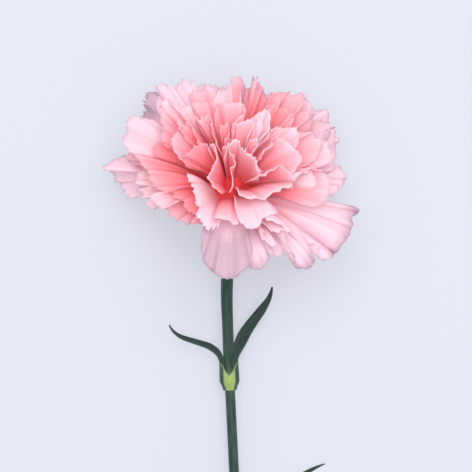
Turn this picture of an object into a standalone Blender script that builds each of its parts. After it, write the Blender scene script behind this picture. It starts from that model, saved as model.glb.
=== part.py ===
"""Cut carnation lying on its side: bloom, calyx, bracts, stem and two leaf pairs.

Run with: blender --background --python part.py

Metres, +Z up. The flower lies along +Y with its cut end towards -Y. It rests at z = 0
on the petals at the back of the bloom and on the cut end of the stem. The origin is the
middle of its footprint.
"""
import math
import random
from collections import namedtuple

import bmesh
import bpy
import numpy as np
from mathutils import Matrix, Vector

MM = 0.001

# Head: the mouth of the calyx, and the way the head points
MOUTH = Vector((0.4, 74.8, 28.6)) * MM
HEAD_RISE = math.radians(36)
HEAD_LEAN = math.radians(3.5)

# Petals
PETAL_THICKNESS = 0.64 * MM
CLAW_RING_RADIUS = 5.2 * MM
CLAW_HALF_WIDTH = 1.6 * MM
WIDEST_OPENING = math.radians(100)
RUFFLE_LENGTH = 13.0 * MM
RUFFLE_DEPTH = 1.4 * MM
TOOTH_DEPTH = 1.3 * MM
CORNER_ROUNDING = 0.14
FIRST_ROW = 0.1
COLUMN_WIDTH = 4.6 * MM
ROW_LENGTH = 14.0 * MM
TABLE_LEVEL = 0.24 * MM
TABLE_SOFTNESS = 0.3 * MM

# Bundle of claws inside the calyx, and the heart of the bloom above it
CLAWS_RADIUS = 5.9 * MM
CLAWS_FOOT_RADIUS = 3.0 * MM
CLAWS_DEPTH = 26.4 * MM
CLAWS_SHOULDER = (0.82 * CLAWS_RADIUS, -0.6 * CLAWS_DEPTH)
HEART_RADIUS = 8.8 * MM
HEART_HEIGHT = 13.0 * MM
HEART_WAIST = math.radians(-20)
HEART_MIDDLE = 0.4
BLOOM_SEGMENTS = 24

# Calyx: outer radius at heights below its mouth
CALYX_LENGTH = 28.0 * MM
CALYX_HEIGHTS = tuple(h * MM for h in (-28.0, -27.2, -25.5, -21.0, -14.0, -8.0, 0.0))
CALYX_RADII = tuple(r * MM for r in (3.2, 4.0, 4.9, 6.0, 7.0, 7.4, 7.3))
CALYX_WALL = 0.9 * MM
CALYX_TEETH = 5
CALYX_TOOTH_HEIGHT = 6.0 * MM
CALYX_TOOTH_FOOT = -11.0 * MM
CALYX_SEGMENTS = 30

# Bracts round the foot of the calyx
BRACTS = 4
BRACT_TIP = -17.5 * MM
BRACT_VALLEY = -25.5 * MM
BRACT_WALL = 0.7 * MM
BRACT_FLARE = 0.15 * MM
BRACT_SEGMENTS = 32
CLEARANCE = 0.3 * MM

# Stem: it leaves the calyx along the head's axis and bends down to lie on the table
STEM_TOP_RADIUS = 2.15 * MM
STEM_RADIUS = 1.95 * MM
STEM_FOOT_RADIUS = 1.75 * MM
STEM_END_Y = MOUTH.y - 194.0 * MM
STEM_BEND = 16.5 * MM
STEM_LEANS = tuple(math.radians(a) for a in (2.0, 2.8, 1.2))
NODE_BULGE = 0.6 * MM
NODE_HALF_LENGTH = 3.5 * MM
UPPER_NODE_Y = MOUTH.y - 61.5 * MM
LOWER_NODE_Y = MOUTH.y - 133.0 * MM
STEM_END_HEIGHT = 0.92 * STEM_FOOT_RADIUS
CUT_SLANT = math.radians(35)
PATH_STEP = 0.5 * MM
WELD_DISTANCE = 0.001 * MM

# Leaves: a pair is joined by a sheath round the stem
LEAF_THICKNESS = 0.7 * MM
LEAF_CELLS = 4
LEAF_SOFTNESS = 0.3 * MM
SHEATH_HALF_LENGTH = 2.5 * MM

Petal = namedtuple("Petal", "knee arch ruffle rim")
Leaf = namedtuple("Leaf", "around length width twist headings")

# Rim points of each petal, in millimetres from the mouth of the calyx
PETALS = (
    # pressed on the table
    Petal(5, 2, 1.2, ((-15, 35, -43), (-5, 41, -45), (5, 42, -45), (15, 38, -43))),
    Petal(5, 2, 1.2, ((-30, 24, -39), (-24, 33, -42), (-15, 38, -44), (-7, 40, -43))),
    Petal(5, 2, 1.2, ((7, 40, -43), (17, 38, -44), (26, 33, -42), (33, 23, -38))),
    Petal(5, 2, 1.2, ((-37, 7, -24), (-35, 16, -29), (-31, 24, -32), (-24, 31, -33))),
    Petal(5, 2, 1.2, ((25, 32, -33), (33, 25, -32), (36, 16, -29), (36, 7, -24))),
    Petal(6, 2, 1.2, ((-22, 34, -22), (-13, 40, -24), (-3, 41, -24), (4, 41, -23))),
    Petal(6, 2, 1.2, ((0, 41, -24), (9, 40, -25), (19, 36, -24), (27, 31, -22))),
    # behind
    Petal(8, 2, 1.0, ((-33, 26, -17), (-32, 31, -17), (-30, 35, -16),
                      (-29, 38, -15), (-26, 39, -14), (-24, 37, -13))),
    Petal(8, 2, 0.8, ((-28, 33, -12), (-27, 37, -12), (-26, 40, -11),
                      (-24, 41, -11), (-21, 40, -10), (-19, 37, -10))),
    Petal(8, 2, 0.9, ((-24, 36, -13), (-22, 39, -12), (-19, 41, -12), (-17, 43, -12),
                      (-15, 42, -12), (-13, 39, -11), (-11, 36, -10))),
    Petal(8, 2, 1.0, ((-16, 35, -7), (-15, 38, -7), (-12, 39, -7),
                      (-9, 40, -7), (-6, 39, -7), (-4, 37, -7))),
    Petal(8, 2, 1.4, ((-14, 39, -15), (-12, 41, -15), (-10, 43, -15), (-8, 42, -15), (-6, 39, -15))),
    Petal(8, 2, 0.5, ((-8, 35, -4), (-6, 37, -4), (-4, 39, -5), (-1, 40, -5),
                      (0, 42, -6), (2, 42, -6), (4, 41, -6))),
    Petal(8, 2, 2.2, ((-1, 41, -8), (1, 42, -8), (3, 43, -8), (6, 41, -8),
                      (8, 41, -7), (9, 42, -7), (11, 40, -6), (12, 37, -6))),
    Petal(8, 2, 1.7, ((6, 40, -4), (9, 40, -4), (11, 38, -4),
                      (13, 37, -3), (16, 37, -3), (18, 36, -3))),
    Petal(8, 2, 2.0, ((12, 36, -5), (15, 37, -5), (17, 38, -5), (18, 39, -5),
                      (21, 37, -4), (24, 38, -5), (26, 36, -6))),
    Petal(8, 2, 1.5, ((20, 36, -8), (22, 37, -8), (24, 38, -9),
                      (26, 38, -9), (28, 36, -9), (30, 33, -8))),
    Petal(7, 2, 1.5, ((25, 36, -10), (28, 34, -10), (30, 33, -11), (33, 31, -11),
                      (35, 28, -11), (37, 24, -11), (37, 20, -11))),
    Petal(8, 2, 1.4, ((24, 27, -4), (27, 29, -4), (29, 29, -5), (32, 29, -6),
                      (34, 27, -6), (35, 23, -6), (35, 19, -6))),
    Petal(7, 2, 1.2, ((35, 29, -13), (37, 25, -13), (37, 21, -13),
                      (37, 16, -13), (35, 12, -12), (33, 10, -12))),
    Petal(7, 2, 1.3, ((32, 12, -12), (35, 13, -13), (38, 12, -14), (40, 10, -14),
                      (40, 7, -14), (38, 5, -12), (35, 3, -11))),
    Petal(8, 2, 1.8, ((17, 28, 1), (20, 31, 0), (23, 32, -1),
                      (26, 31, -2), (28, 28, -2), (29, 24, -2))),
    Petal(8, 2, 1.9, ((9, 30, 3), (12, 33, 2), (15, 34, 1), (18, 33, 0), (21, 31, 0), (23, 27, 1))),
    Petal(8, 2, 1.2, ((26, 24, 0), (29, 24, -1), (32, 22, -2),
                      (34, 19, -3), (34, 15, -3), (32, 11, -3))),
    # left
    Petal(6, 2, 1.4, ((-34, 16, -9), (-38, 15, -11), (-42, 15, -13), (-43, 13, -14), (-43, 10, -16),
                      (-41, 7, -15), (-38, 4, -14), (-35, 2, -13), (-31, -1, -10))),
    Petal(7, 2, 0.8, ((-31, 32, -7), (-34, 30, -6), (-36, 27, -5),
                      (-37, 22, -4), (-37, 19, -3), (-35, 16, -2))),
    Petal(6, 2, 0.9, ((-39, 19, -7), (-37, 16, -6), (-34, 14, -5), (-32, 14, -4), (-31, 11, -3))),
    Petal(8, 2, 0.8, ((-37, 18, 0), (-34, 16, 1), (-31, 13, 2), (-29, 11, 4),
                      (-28, 8, 5), (-26, 5, 6), (-23, 3, 7), (-20, 3, 9))),
    Petal(6, 2, 1.3, ((-36, 12, -5), (-35, 8, -5), (-33, 6, -4), (-32, 3, -2),
                      (-30, 0, -1), (-27, -2, 1), (-23, -2, 3), (-21, 0, 4))),
    Petal(6, 2, 0.9, ((-30, 2, 4), (-27, 0, 5), (-24, -2, 6), (-21, 0, 7), (-20, 1, 8))),
    Petal(6, 2, 1.2, ((-25, 1, 2), (-23, -2, 2), (-21, -5, 4), (-18, -6, 6),
                      (-14, -8, 9), (-9, -8, 11), (-7, -7, 13))),
    Petal(7, 2, 0.9, ((-22, 5, 7), (-20, 2, 8), (-17, 0, 9), (-15, -3, 11), (-12, -6, 13))),
    Petal(9, 2, 0.8, ((-24, 35, -1), (-25, 33, 0), (-24, 29, 2),
                      (-24, 25, 3), (-24, 22, 4), (-25, 19, 4))),
    Petal(9, 2, 0.7, ((-27, 32, -1), (-25, 34, 0), (-23, 35, 1), (-20, 34, 3),
                      (-17, 33, 4), (-13, 33, 5), (-11, 32, 6))),
    Petal(9, 1, 0.6, ((-29, 16, 3), (-27, 18, 4), (-24, 20, 6),
                      (-22, 20, 8), (-19, 17, 9), (-18, 14, 11))),
    Petal(10, 1, 0.6, ((-18, 29, 8), (-17, 26, 10), (-19, 24, 10), (-21, 21, 11),
                       (-20, 18, 12), (-17, 14, 14), (-15, 14, 15))),
    # right
    Petal(8, 2, 0.9, ((19, 20, 4), (22, 22, 3), (24, 24, 2), (27, 24, 1),
                      (30, 22, 0), (31, 19, 0), (30, 15, 1), (28, 12, 3))),
    Petal(8, 2, 0.9, ((26, 12, 4), (28, 12, 3), (31, 10, 0), (33, 8, -1), (33, 4, 0), (32, -1, 1))),
    Petal(6, 2, 1.0, ((32, 7, -8), (34, 7, -8), (37, 6, -8), (37, 4, -8), (35, 0, -6))),
    # front right
    Petal(5, 2, 1.5, ((30, 0, -1), (34, 0, -1), (38, 0, 0), (41, -2, 1), (42, -5, 2), (40, -10, 2),
                      (38, -13, 3), (36, -16, 4), (33, -19, 5), (30, -19, 5), (27, -17, 8), (24, -13, 9))),
    Petal(5, 3, 0.8, ((17, -16, 11), (19, -18, 11), (21, -21, 10), (24, -22, 9),
                      (26, -22, 8), (28, -19, 8), (27, -16, 9), (25, -13, 10))),
    Petal(5, 3, 0.8, ((10, -16, 14), (13, -18, 14), (16, -18, 12), (19, -17, 11))),
    Petal(5, 3, 0.7, ((4, -17, 16), (5, -20, 17), (7, -22, 17), (10, -22, 16),
                      (12, -20, 16), (13, -17, 17), (13, -14, 17))),
    Petal(5, 3, 1.2, ((9, -8, 20), (11, -10, 20), (12, -13, 19), (14, -16, 18), (17, -17, 16))),
    Petal(5, 3, 1.2, ((12, -8, 20), (14, -10, 19), (17, -12, 17), (19, -15, 16), (20, -17, 15))),
    # bottom
    Petal(5, 6, 0.5, ((-10, -8, 15), (-10, -11, 16), (-10, -16, 17), (-8, -20, 17), (-6, -22, 18),
                      (-3, -24, 19), (0, -25, 19), (3, -24, 19), (6, -21, 19), (7, -17, 19), (6, -12, 19))),
    # front
    Petal(5, 4, 0.5, ((-18, 10, 14), (-15, 8, 15), (-13, 4, 17), (-12, -1, 18), (-11, -5, 19),
                      (-8, -10, 19), (-6, -10, 19), (-3, -7, 21), (0, -6, 22), (3, -5, 23))),
    Petal(6, 3, 0.3, ((-5, -4, 22), (-3, -6, 22), (0, -8, 22), (4, -9, 22),
                      (7, -9, 22), (9, -7, 22), (10, -4, 22))),
    Petal(6, 3, 0.7, ((7, -9, 22), (9, -8, 22), (10, -6, 22), (12, -6, 21),
                      (15, -8, 20), (17, -9, 18), (20, -11, 17), (22, -14, 15))),
    Petal(8, 3, 0.6, ((1, 3, 26), (3, 2, 26), (6, 2, 25), (9, 3, 24), (11, 5, 23),
                      (14, 6, 21), (17, 6, 20), (20, 6, 18), (23, 6, 16))),
    Petal(8, 3, 0.6, ((22, 6, 13), (23, 9, 12), (24, 10, 11), (27, 9, 8), (29, 6, 6), (29, 1, 6))),
    # heart left
    Petal(11, 0, 0.8, ((-15, 32, 4), (-13, 34, 4), (-10, 34, 5),
                       (-7, 34, 6), (-4, 33, 7), (-2, 31, 8))),
    Petal(11, 0, 0.5, ((-7, 31, 9), (-5, 33, 9), (-2, 33, 10), (2, 33, 11),
                       (4, 32, 12), (3, 28, 14), (1, 26, 17), (0, 24, 18))),
    Petal(12, 0, 0.9, ((-14, 28, 12), (-12, 30, 12), (-11, 28, 13),
                       (-9, 29, 13), (-8, 27, 14), (-7, 24, 15))),
    Petal(12, 0, 0.7, ((-19, 22, 12), (-17, 25, 12), (-15, 26, 13),
                       (-13, 24, 14), (-11, 21, 16), (-10, 18, 17))),
    Petal(10, 0, 0.6, ((-18, 12, 14), (-17, 15, 15), (-15, 17, 16), (-13, 18, 17),
                       (-11, 19, 17), (-8, 19, 18), (-7, 16, 19))),
    Petal(8, 0, 0.3, ((-8, 21, 18), (-7, 20, 19), (-5, 18, 20), (-5, 15, 21), (-6, 12, 22),
                      (-7, 9, 23), (-7, 6, 24), (-6, 4, 25), (-4, 2, 26))),
    Petal(11, 0, 0.5, ((-9, 26, 13), (-8, 27, 13), (-6, 24, 15), (-5, 21, 17), (-4, 18, 19))),
    Petal(11, 0, 0.5, ((-5, 23, 15), (-4, 25, 15), (-2, 26, 15), (-1, 23, 16), (-2, 20, 18))),
    Petal(8, 0, 0.4, ((-3, 21, 20), (-1, 18, 20), (0, 15, 22), (1, 12, 24),
                      (0, 8, 25), (0, 5, 26), (-1, 2, 27))),
    # heart right
    Petal(9, 0, 0.5, ((-1, 17, 20), (0, 20, 19), (2, 20, 20), (5, 17, 20), (7, 14, 21), (9, 11, 22))),
    Petal(11, 0, 0.6, ((-1, 22, 16), (0, 24, 15), (2, 26, 15), (5, 27, 15), (7, 27, 15), (8, 24, 16))),
    Petal(11, 0, 0.7, ((6, 21, 16), (7, 24, 15), (8, 26, 14), (9, 28, 14), (11, 26, 14), (11, 22, 14))),
    Petal(11, 0, 0.5, ((6, 26, 10), (7, 28, 9), (9, 30, 8), (11, 31, 8),
                       (13, 31, 8), (13, 27, 10), (11, 24, 12))),
    Petal(10, 0, 0.8, ((5, 17, 18), (6, 19, 18), (8, 21, 18), (9, 19, 18),
                       (8, 16, 19), (9, 13, 20), (10, 11, 20), (12, 9, 20))),
    Petal(10, 0, 0.9, ((9, 15, 17), (11, 18, 16), (14, 20, 14), (17, 21, 12),
                       (20, 19, 12), (23, 16, 12), (23, 12, 13), (22, 7, 14))),
    Petal(11, 0, 1.0, ((10, 20, 11), (12, 23, 10), (15, 25, 9), (18, 25, 8),
                       (22, 25, 8), (23, 22, 9), (24, 18, 10))),
    Petal(10, 0, 0.6, ((8, 6, 23), (10, 9, 22), (13, 10, 20), (16, 11, 18),
                       (19, 10, 16), (22, 8, 15), (23, 5, 14))),
)

# Where a leaf leaves the stem's side (0 = right, 90 = up), its length and width in
# millimetres, how far its blade twists, and its angle from the stem from foot to tip
UPPER_LEAVES = (
    Leaf(8, 36, 3.9, -70, (0, 0, 24, 34, 39, 32, 8)),
    Leaf(172, 36, 3.4, 15, (0, 0, 38, 62, 70, 66, 38)),
)
LOWER_LEAVES = (
    Leaf(-12, 54, 4.6, -60, (0, 4, 22, 36, 46, 52, 60, 72)),
    Leaf(140, 50, 4.4, 30, (0, 4, 20, 34, 46, 60, 78, 96)),
)

PINK = (0.86, 0.40, 0.48)
CALYX_GREEN = (0.10, 0.16, 0.08)
STEM_GREEN = (0.045, 0.09, 0.065)
LEAF_GREEN = (0.03, 0.06, 0.045)


def remove_startup_objects():
    for obj in list(bpy.data.objects):
        bpy.data.objects.remove(obj, do_unlink=True)


def new_collection(name):
    collection = bpy.data.collections.new(name)
    bpy.context.scene.collection.children.link(collection)
    return collection


def new_material(name, colour, roughness):
    material = bpy.data.materials.new(name)
    material.use_nodes = True
    shader = material.node_tree.nodes["Principled BSDF"]
    shader.inputs["Base Color"].default_value = (*colour, 1.0)
    shader.inputs["Roughness"].default_value = roughness
    shader.inputs["Metallic"].default_value = 0.0
    return material


def new_object(name, mesh, collection, material):
    obj = bpy.data.objects.new(name, mesh)
    collection.objects.link(obj)
    mesh.materials.append(material)
    return obj


def mesh_from(name, bm):
    mesh = bpy.data.meshes.new(name)
    bm.to_mesh(mesh)
    bm.free()
    return mesh


def apply_modifiers(obj):
    """Replace the object's mesh with what its modifiers make of it."""
    evaluated = obj.evaluated_get(bpy.context.evaluated_depsgraph_get())
    mesh = bpy.data.meshes.new_from_object(evaluated)
    obj.modifiers.clear()
    old = obj.data
    obj.data = mesh
    bpy.data.meshes.remove(old)


def add_thickness(obj, thickness, offset=0.0):
    solidify = obj.modifiers.new("Thickness", "SOLIDIFY")
    solidify.thickness = thickness
    solidify.offset = offset


def head_axes():
    """Right, back and axis of the head, as rows."""
    axis = Vector((math.sin(HEAD_LEAN) * math.cos(HEAD_RISE),
                   math.cos(HEAD_LEAN) * math.cos(HEAD_RISE),
                   math.sin(HEAD_RISE)))
    right = Vector((math.cos(HEAD_LEAN), -math.sin(HEAD_LEAN), 0.0))
    return right, axis.cross(right), axis


def head_matrix():
    """Places a shape built round +Z, mouth at its origin, on the head."""
    right, back, axis = head_axes()
    turn = Matrix((right, back, axis)).transposed().to_4x4()
    return Matrix.Translation(MOUTH) @ turn


def smoothstep(x):
    x = np.clip(x, 0.0, 1.0)
    return x * x * (3.0 - 2.0 * x)


def smooth_through(points, share):
    """A smooth curve through points, read at shares of its length."""
    points = np.array(points, float)
    count = len(points) - 1
    padded = np.vstack([2 * points[0] - points[1], points, 2 * points[-1] - points[-2]])
    place = np.clip(share, 0.0, 1.0) * count
    first = np.minimum(place.astype(int), count - 1)
    past = (place - first)[:, None]
    before, start, end, after = (padded[first + step] for step in range(4))
    return 0.5 * (2 * start + (end - before) * past
                  + (2 * before - 5 * start + 4 * end - after) * past ** 2
                  + (3 * start - before - 3 * end + after) * past ** 3)


def unit(vectors):
    return vectors / np.linalg.norm(vectors, axis=-1, keepdims=True)


def arc_lengths(points):
    steps = np.linalg.norm(np.diff(points, axis=0), axis=1)
    return np.concatenate([[0.0], np.cumsum(steps)])


def ruffle_waves(arc, rng):
    """Height and sway of a rim's ruffles at each place along it, for a depth of one."""
    turns = 2 * math.pi * arc / RUFFLE_LENGTH
    start, beat, second = (rng.uniform(0, 2 * math.pi) for _ in range(3))
    phase = turns + start + 1.1 * np.sin(turns / 2.7 + beat)
    return np.sin(phase) + 0.35 * np.sin(1.9 * turns + second), np.sin(2 * phase)


def petal_points(petal, index):
    """Middle surface of a petal: places across by places along.

    A petal leaves the ring of claws along the head's axis, bends over its knee and fans
    out to its rim, where it is ruffled and toothed.
    """
    axis = np.array(head_axes()[2])
    length = arc_lengths(smooth_through(petal.rim, np.linspace(0, 1, 200)))[-1] * MM
    columns = 2 * max(2, round(length / COLUMN_WIDTH / 2))
    side = np.linspace(-1.0, 1.0, columns + 1)
    rim = smooth_through(petal.rim, (side + 1) / 2) * MM

    outward = rim - np.outer(rim @ axis, axis)
    middle = unit(outward.mean(axis=0))
    across = np.cross(axis, middle)
    if (rim[-1] - rim[0]) @ across < 0:
        across = -across
    opening = math.acos(float(unit(rim.mean(axis=0)) @ axis))
    ring = CLAW_RING_RADIUS * min(1.0, opening / WIDEST_OPENING)
    claw = middle * ring + np.outer(side * CLAW_HALF_WIDTH, across)
    knee = claw + axis * petal.knee * MM
    bend = knee + (rim - knee) / 2 + axis * petal.arch * MM

    cut = TOOTH_DEPTH * (np.arange(columns + 1) % 2)
    limit = 1.0 - CORNER_ROUNDING * np.abs(side) ** 5 - cut / np.linalg.norm(rim - knee, axis=1)
    rows = max(2, round(float(np.linalg.norm(rim - knee, axis=1).mean()) / ROW_LENGTH))
    share = np.linspace(FIRST_ROW, 1.0, rows + 1)[None, :] * limit[:, None]
    weight = share[..., None]
    points = ((1 - weight) ** 3 * claw[:, None] + 3 * (1 - weight) ** 2 * weight * knee[:, None]
              + 3 * (1 - weight) * weight ** 2 * bend[:, None] + weight ** 3 * rim[:, None])

    height, sway = ruffle_waves(arc_lengths(rim), random.Random(index))
    tangent = unit(np.gradient(rim, axis=0))
    facing = unit(np.cross(tangent, rim - bend))
    depth = RUFFLE_DEPTH * petal.ruffle
    points += facing[:, None] * (depth * height[:, None] * share ** 2.2)[..., None]
    points += tangent[:, None] * (0.35 * depth * sway[:, None] * share ** 3)[..., None]
    return points


def on_table(points):
    """Mouth frame to world, with what would sink below the table laid flat on it."""
    world = np.array(MOUTH) + points
    above = (world[..., 2] - TABLE_LEVEL) / TABLE_SOFTNESS
    world[..., 2] = TABLE_LEVEL + TABLE_SOFTNESS * np.logaddexp(0.0, above)
    return world


def petal_object(index, petal, collection, material):
    points = on_table(petal_points(petal, index))
    columns, rows = points.shape[0] - 1, points.shape[1] - 1
    bm = bmesh.new()
    bmesh.ops.create_grid(bm, x_segments=columns, y_segments=rows, size=1.0)
    for vert in bm.verts:
        across = round((vert.co.x + 1) / 2 * columns)
        along = round((vert.co.y + 1) / 2 * rows)
        vert.co = points[across, along]
    bmesh.ops.triangulate(bm, faces=bm.faces)
    name = "petal_%02d" % index
    obj = new_object(name, mesh_from(name, bm), collection, material)
    add_thickness(obj, PETAL_THICKNESS)
    apply_modifiers(obj)
    return obj


def turned(profile, segments):
    """A closed turned body round +Z from a list of (radius, height), bottom to top."""
    bm = bmesh.new()
    verts = [bm.verts.new((radius, 0.0, height)) for radius, height in profile]
    edges = [bm.edges.new(pair) for pair in zip(verts, verts[1:])]
    bmesh.ops.spin(bm, geom=verts + edges, cent=(0, 0, 0), axis=(0, 0, 1),
                   angle=2 * math.pi, steps=segments, use_merge=True)
    bmesh.ops.remove_doubles(bm, verts=bm.verts, dist=1e-6)
    bmesh.ops.recalc_face_normals(bm, faces=bm.faces)
    return bm


def claws_profile():
    """The bundle of claws, and the heart of the bloom above it that the petals stand out of."""
    foot = [(0.0, -CLAWS_DEPTH), (CLAWS_FOOT_RADIUS, -CLAWS_DEPTH),
            CLAWS_SHOULDER, (CLAWS_RADIUS, 0.0)]
    heart = []
    for turn in np.linspace(HEART_WAIST, math.pi / 2, 7)[:-1]:
        height = HEART_MIDDLE + (1 - HEART_MIDDLE) * math.sin(turn)
        heart.append((HEART_RADIUS * math.cos(turn), HEART_HEIGHT * height))
    return foot + heart + [(0.0, HEART_HEIGHT)]


def union_of(obj, collection):
    boolean = obj.modifiers.new("Petals", "BOOLEAN")
    boolean.operation = "UNION"
    boolean.operand_type = "COLLECTION"
    boolean.collection = collection
    boolean.solver = "MANIFOLD"
    apply_modifiers(obj)
    for petal in list(collection.objects):
        bpy.data.objects.remove(petal, do_unlink=True)
    bpy.data.collections.remove(collection)


def cut_flat_below(obj, cutters):
    """Cut what lies below the table's surface away."""
    bm = bmesh.new()
    bmesh.ops.create_cube(bm, size=1.0)
    depth = 5 * MM
    bmesh.ops.scale(bm, vec=(200 * MM, 400 * MM, depth), verts=bm.verts)
    bmesh.ops.translate(bm, vec=(0, 0, -depth / 2), verts=bm.verts)
    cutter = bpy.data.objects.new("table_cutter", mesh_from("table_cutter", bm))
    cutters.objects.link(cutter)
    cutter.hide_render = True
    cutter.display_type = "WIRE"
    boolean = obj.modifiers.new("Flat spots", "BOOLEAN")
    boolean.operation = "DIFFERENCE"
    boolean.object = cutter
    boolean.solver = "MANIFOLD"
    apply_modifiers(obj)


def keep_largest_shell(obj):
    """Fill hollows that the union sealed, and drop loose scraps."""
    bm = bmesh.new()
    bm.from_mesh(obj.data)
    unseen = set(bm.verts)
    shells = []
    while unseen:
        shell, waiting = set(), [unseen.pop()]
        while waiting:
            vert = waiting.pop()
            shell.add(vert)
            for edge in vert.link_edges:
                other = edge.other_vert(vert)
                if other in unseen:
                    unseen.remove(other)
                    waiting.append(other)
        shells.append(shell)
    shells.sort(key=len)
    for shell in shells[:-1]:
        bmesh.ops.delete(bm, geom=list(shell), context="VERTS")
    bm.to_mesh(obj.data)
    bm.free()


def part_touching_edges(obj):
    """Collapse the edges where the surface touches itself, so that each has two faces."""
    bm = bmesh.new()
    bm.from_mesh(obj.data)
    touching = [None]
    while touching:
        bmesh.ops.remove_doubles(bm, verts=bm.verts, dist=WELD_DISTANCE)
        bmesh.ops.triangulate(bm, faces=bm.faces)
        fins = [face for face in bm.faces if all(edge.is_boundary for edge in face.edges)]
        bmesh.ops.delete(bm, geom=fins, context="FACES")
        loose = [edge for edge in bm.edges if edge.is_wire]
        bmesh.ops.delete(bm, geom=loose, context="EDGES")
        touching = [edge for edge in bm.edges if not edge.is_manifold]
        bmesh.ops.collapse(bm, edges=touching)
    bm.to_mesh(obj.data)
    bm.free()


def build_bloom(collection, cutters):
    material = new_material("petal_pink", PINK, 0.65)
    body = turned(claws_profile(), BLOOM_SEGMENTS)
    bloom = new_object("bloom", mesh_from("bloom", body), collection, material)
    bloom.data.transform(head_matrix())
    petals = new_collection("petals")
    for index, petal in enumerate(PETALS):
        petal_object(index, petal, petals, material)
    union_of(bloom, petals)
    cut_flat_below(bloom, cutters)
    part_touching_edges(bloom)
    keep_largest_shell(bloom)


def calyx_radius(height):
    return float(np.interp(height, CALYX_HEIGHTS, CALYX_RADII))


def lobed_cup(rows, lobes, tip, valley, foot, segments, roundness):
    """An open turned cup whose rim rises to a tip in each lobe.

    The rows are (radius, height) pairs from bottom to top. Those above the foot are
    spread evenly from there to the rim.
    """
    bm = turned(rows, segments)
    top = max(height for _, height in rows)
    for vert in bm.verts:
        if vert.co.z <= foot:
            continue
        turn = math.atan2(vert.co.y, vert.co.x) / (2 * math.pi) * lobes
        from_tip = abs(2 * (turn - math.floor(turn)) - 1)
        rim = tip + (valley - tip) * from_tip ** roundness
        vert.co.z = foot + (vert.co.z - foot) * (rim - foot) / (top - foot)
    return bm


def refit(bm, foot, radius_at):
    """Put the rings above the foot back on the surface of revolution."""
    for vert in bm.verts:
        if vert.co.z > foot:
            scale = radius_at(vert.co.z) / math.hypot(vert.co.x, vert.co.y)
            vert.co.x *= scale
            vert.co.y *= scale


def build_calyx(collection):
    """A tube, closed at its foot, that opens in five pointed teeth."""
    rows = [(0.0, -CALYX_LENGTH)]
    rows += [(radius, height) for height, radius in zip(CALYX_HEIGHTS, CALYX_RADII)
             if height < CALYX_TOOTH_FOOT]
    rings = 4
    rows += [(calyx_radius(height), height)
             for height in np.linspace(CALYX_TOOTH_FOOT, 0.0, rings)]
    bm = lobed_cup(rows, CALYX_TEETH, 0.0, -CALYX_TOOTH_HEIGHT, CALYX_TOOTH_FOOT,
                   CALYX_SEGMENTS, 0.8)
    refit(bm, CALYX_TOOTH_FOOT, calyx_radius)
    calyx = new_object("calyx", mesh_from("calyx", bm), collection,
                       new_material("calyx_green", CALYX_GREEN, 0.55))
    add_thickness(calyx, CALYX_WALL, offset=-1.0)
    apply_modifiers(calyx)
    calyx.data.transform(head_matrix())


def build_epicalyx(collection):
    """Four bracts on a ring round the top of the stem, hugging the calyx."""
    away = CLEARANCE + BRACT_WALL / 2 + BRACT_FLARE

    def hug(height):
        return calyx_radius(height) + away

    ring = STEM_TOP_RADIUS + CLEARANCE + BRACT_WALL / 2
    foot = BRACT_VALLEY - 0.8 * MM
    rows = [(ring, -CALYX_LENGTH - 1.7 * MM), (ring + 0.5 * MM, -CALYX_LENGTH - 1.1 * MM),
            (calyx_radius(-CALYX_LENGTH) + 1.0 * MM, -CALYX_LENGTH - 0.6 * MM),
            (hug(-27.2 * MM), -27.4 * MM)]
    rings = 5
    rows += [(hug(height), height) for height in np.linspace(foot, BRACT_TIP, rings)]
    bm = lobed_cup(rows, BRACTS, BRACT_TIP, BRACT_VALLEY, foot, BRACT_SEGMENTS, 0.75)
    refit(bm, foot, hug)
    epicalyx = new_object("epicalyx", mesh_from("epicalyx", bm), collection,
                          new_material("bract_green", CALYX_GREEN, 0.6))
    add_thickness(epicalyx, BRACT_WALL)
    apply_modifiers(epicalyx)
    epicalyx.data.transform(head_matrix())


def walk_stem(foot_rise):
    """Points and directions down the stem for a slope of its lying part."""
    _, _, axis = head_axes()
    point = MOUTH - axis * (CALYX_LENGTH + CLEARANCE)
    path = []
    gone = 0.0
    while point.y > STEM_END_Y:
        blend = float(smoothstep(gone / STEM_BEND))
        at_node = [float(smoothstep((node - point.y) / NODE_HALF_LENGTH + 0.5))
                   for node in (UPPER_NODE_Y, LOWER_NODE_Y)]
        lying = (STEM_LEANS[0] + (STEM_LEANS[1] - STEM_LEANS[0]) * at_node[0]
                 + (STEM_LEANS[2] - STEM_LEANS[1]) * at_node[1])
        rise = HEAD_RISE + (foot_rise - HEAD_RISE) * blend
        lean = HEAD_LEAN * (1 - blend) - lying * blend
        step = Vector((-math.sin(lean) * math.cos(rise), -math.cos(lean) * math.cos(rise), -math.sin(rise)))
        path.append((point.copy(), step))
        point = point + step * PATH_STEP
        gone += PATH_STEP
    return path


def stem_path():
    """The stem's path whose cut end lies on the table."""
    low, high = 0.0, math.radians(6)
    for _ in range(24):
        middle = (low + high) / 2
        if walk_stem(middle)[-1][0].z > STEM_END_HEIGHT:
            low = middle
        else:
            high = middle
    return walk_stem(low)


def stem_radius(y):
    top = MOUTH.y - CALYX_LENGTH
    radius = float(np.interp(y, (STEM_END_Y, LOWER_NODE_Y, UPPER_NODE_Y - NODE_HALF_LENGTH,
                                 UPPER_NODE_Y + NODE_HALF_LENGTH, top - STEM_BEND, top),
                             (STEM_FOOT_RADIUS, STEM_FOOT_RADIUS, STEM_FOOT_RADIUS,
                              STEM_RADIUS, STEM_RADIUS, STEM_TOP_RADIUS)))
    for node in (UPPER_NODE_Y, LOWER_NODE_Y):
        radius += NODE_BULGE * math.exp(-((y - node) / (0.7 * NODE_HALF_LENGTH)) ** 2)
    return radius


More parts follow.
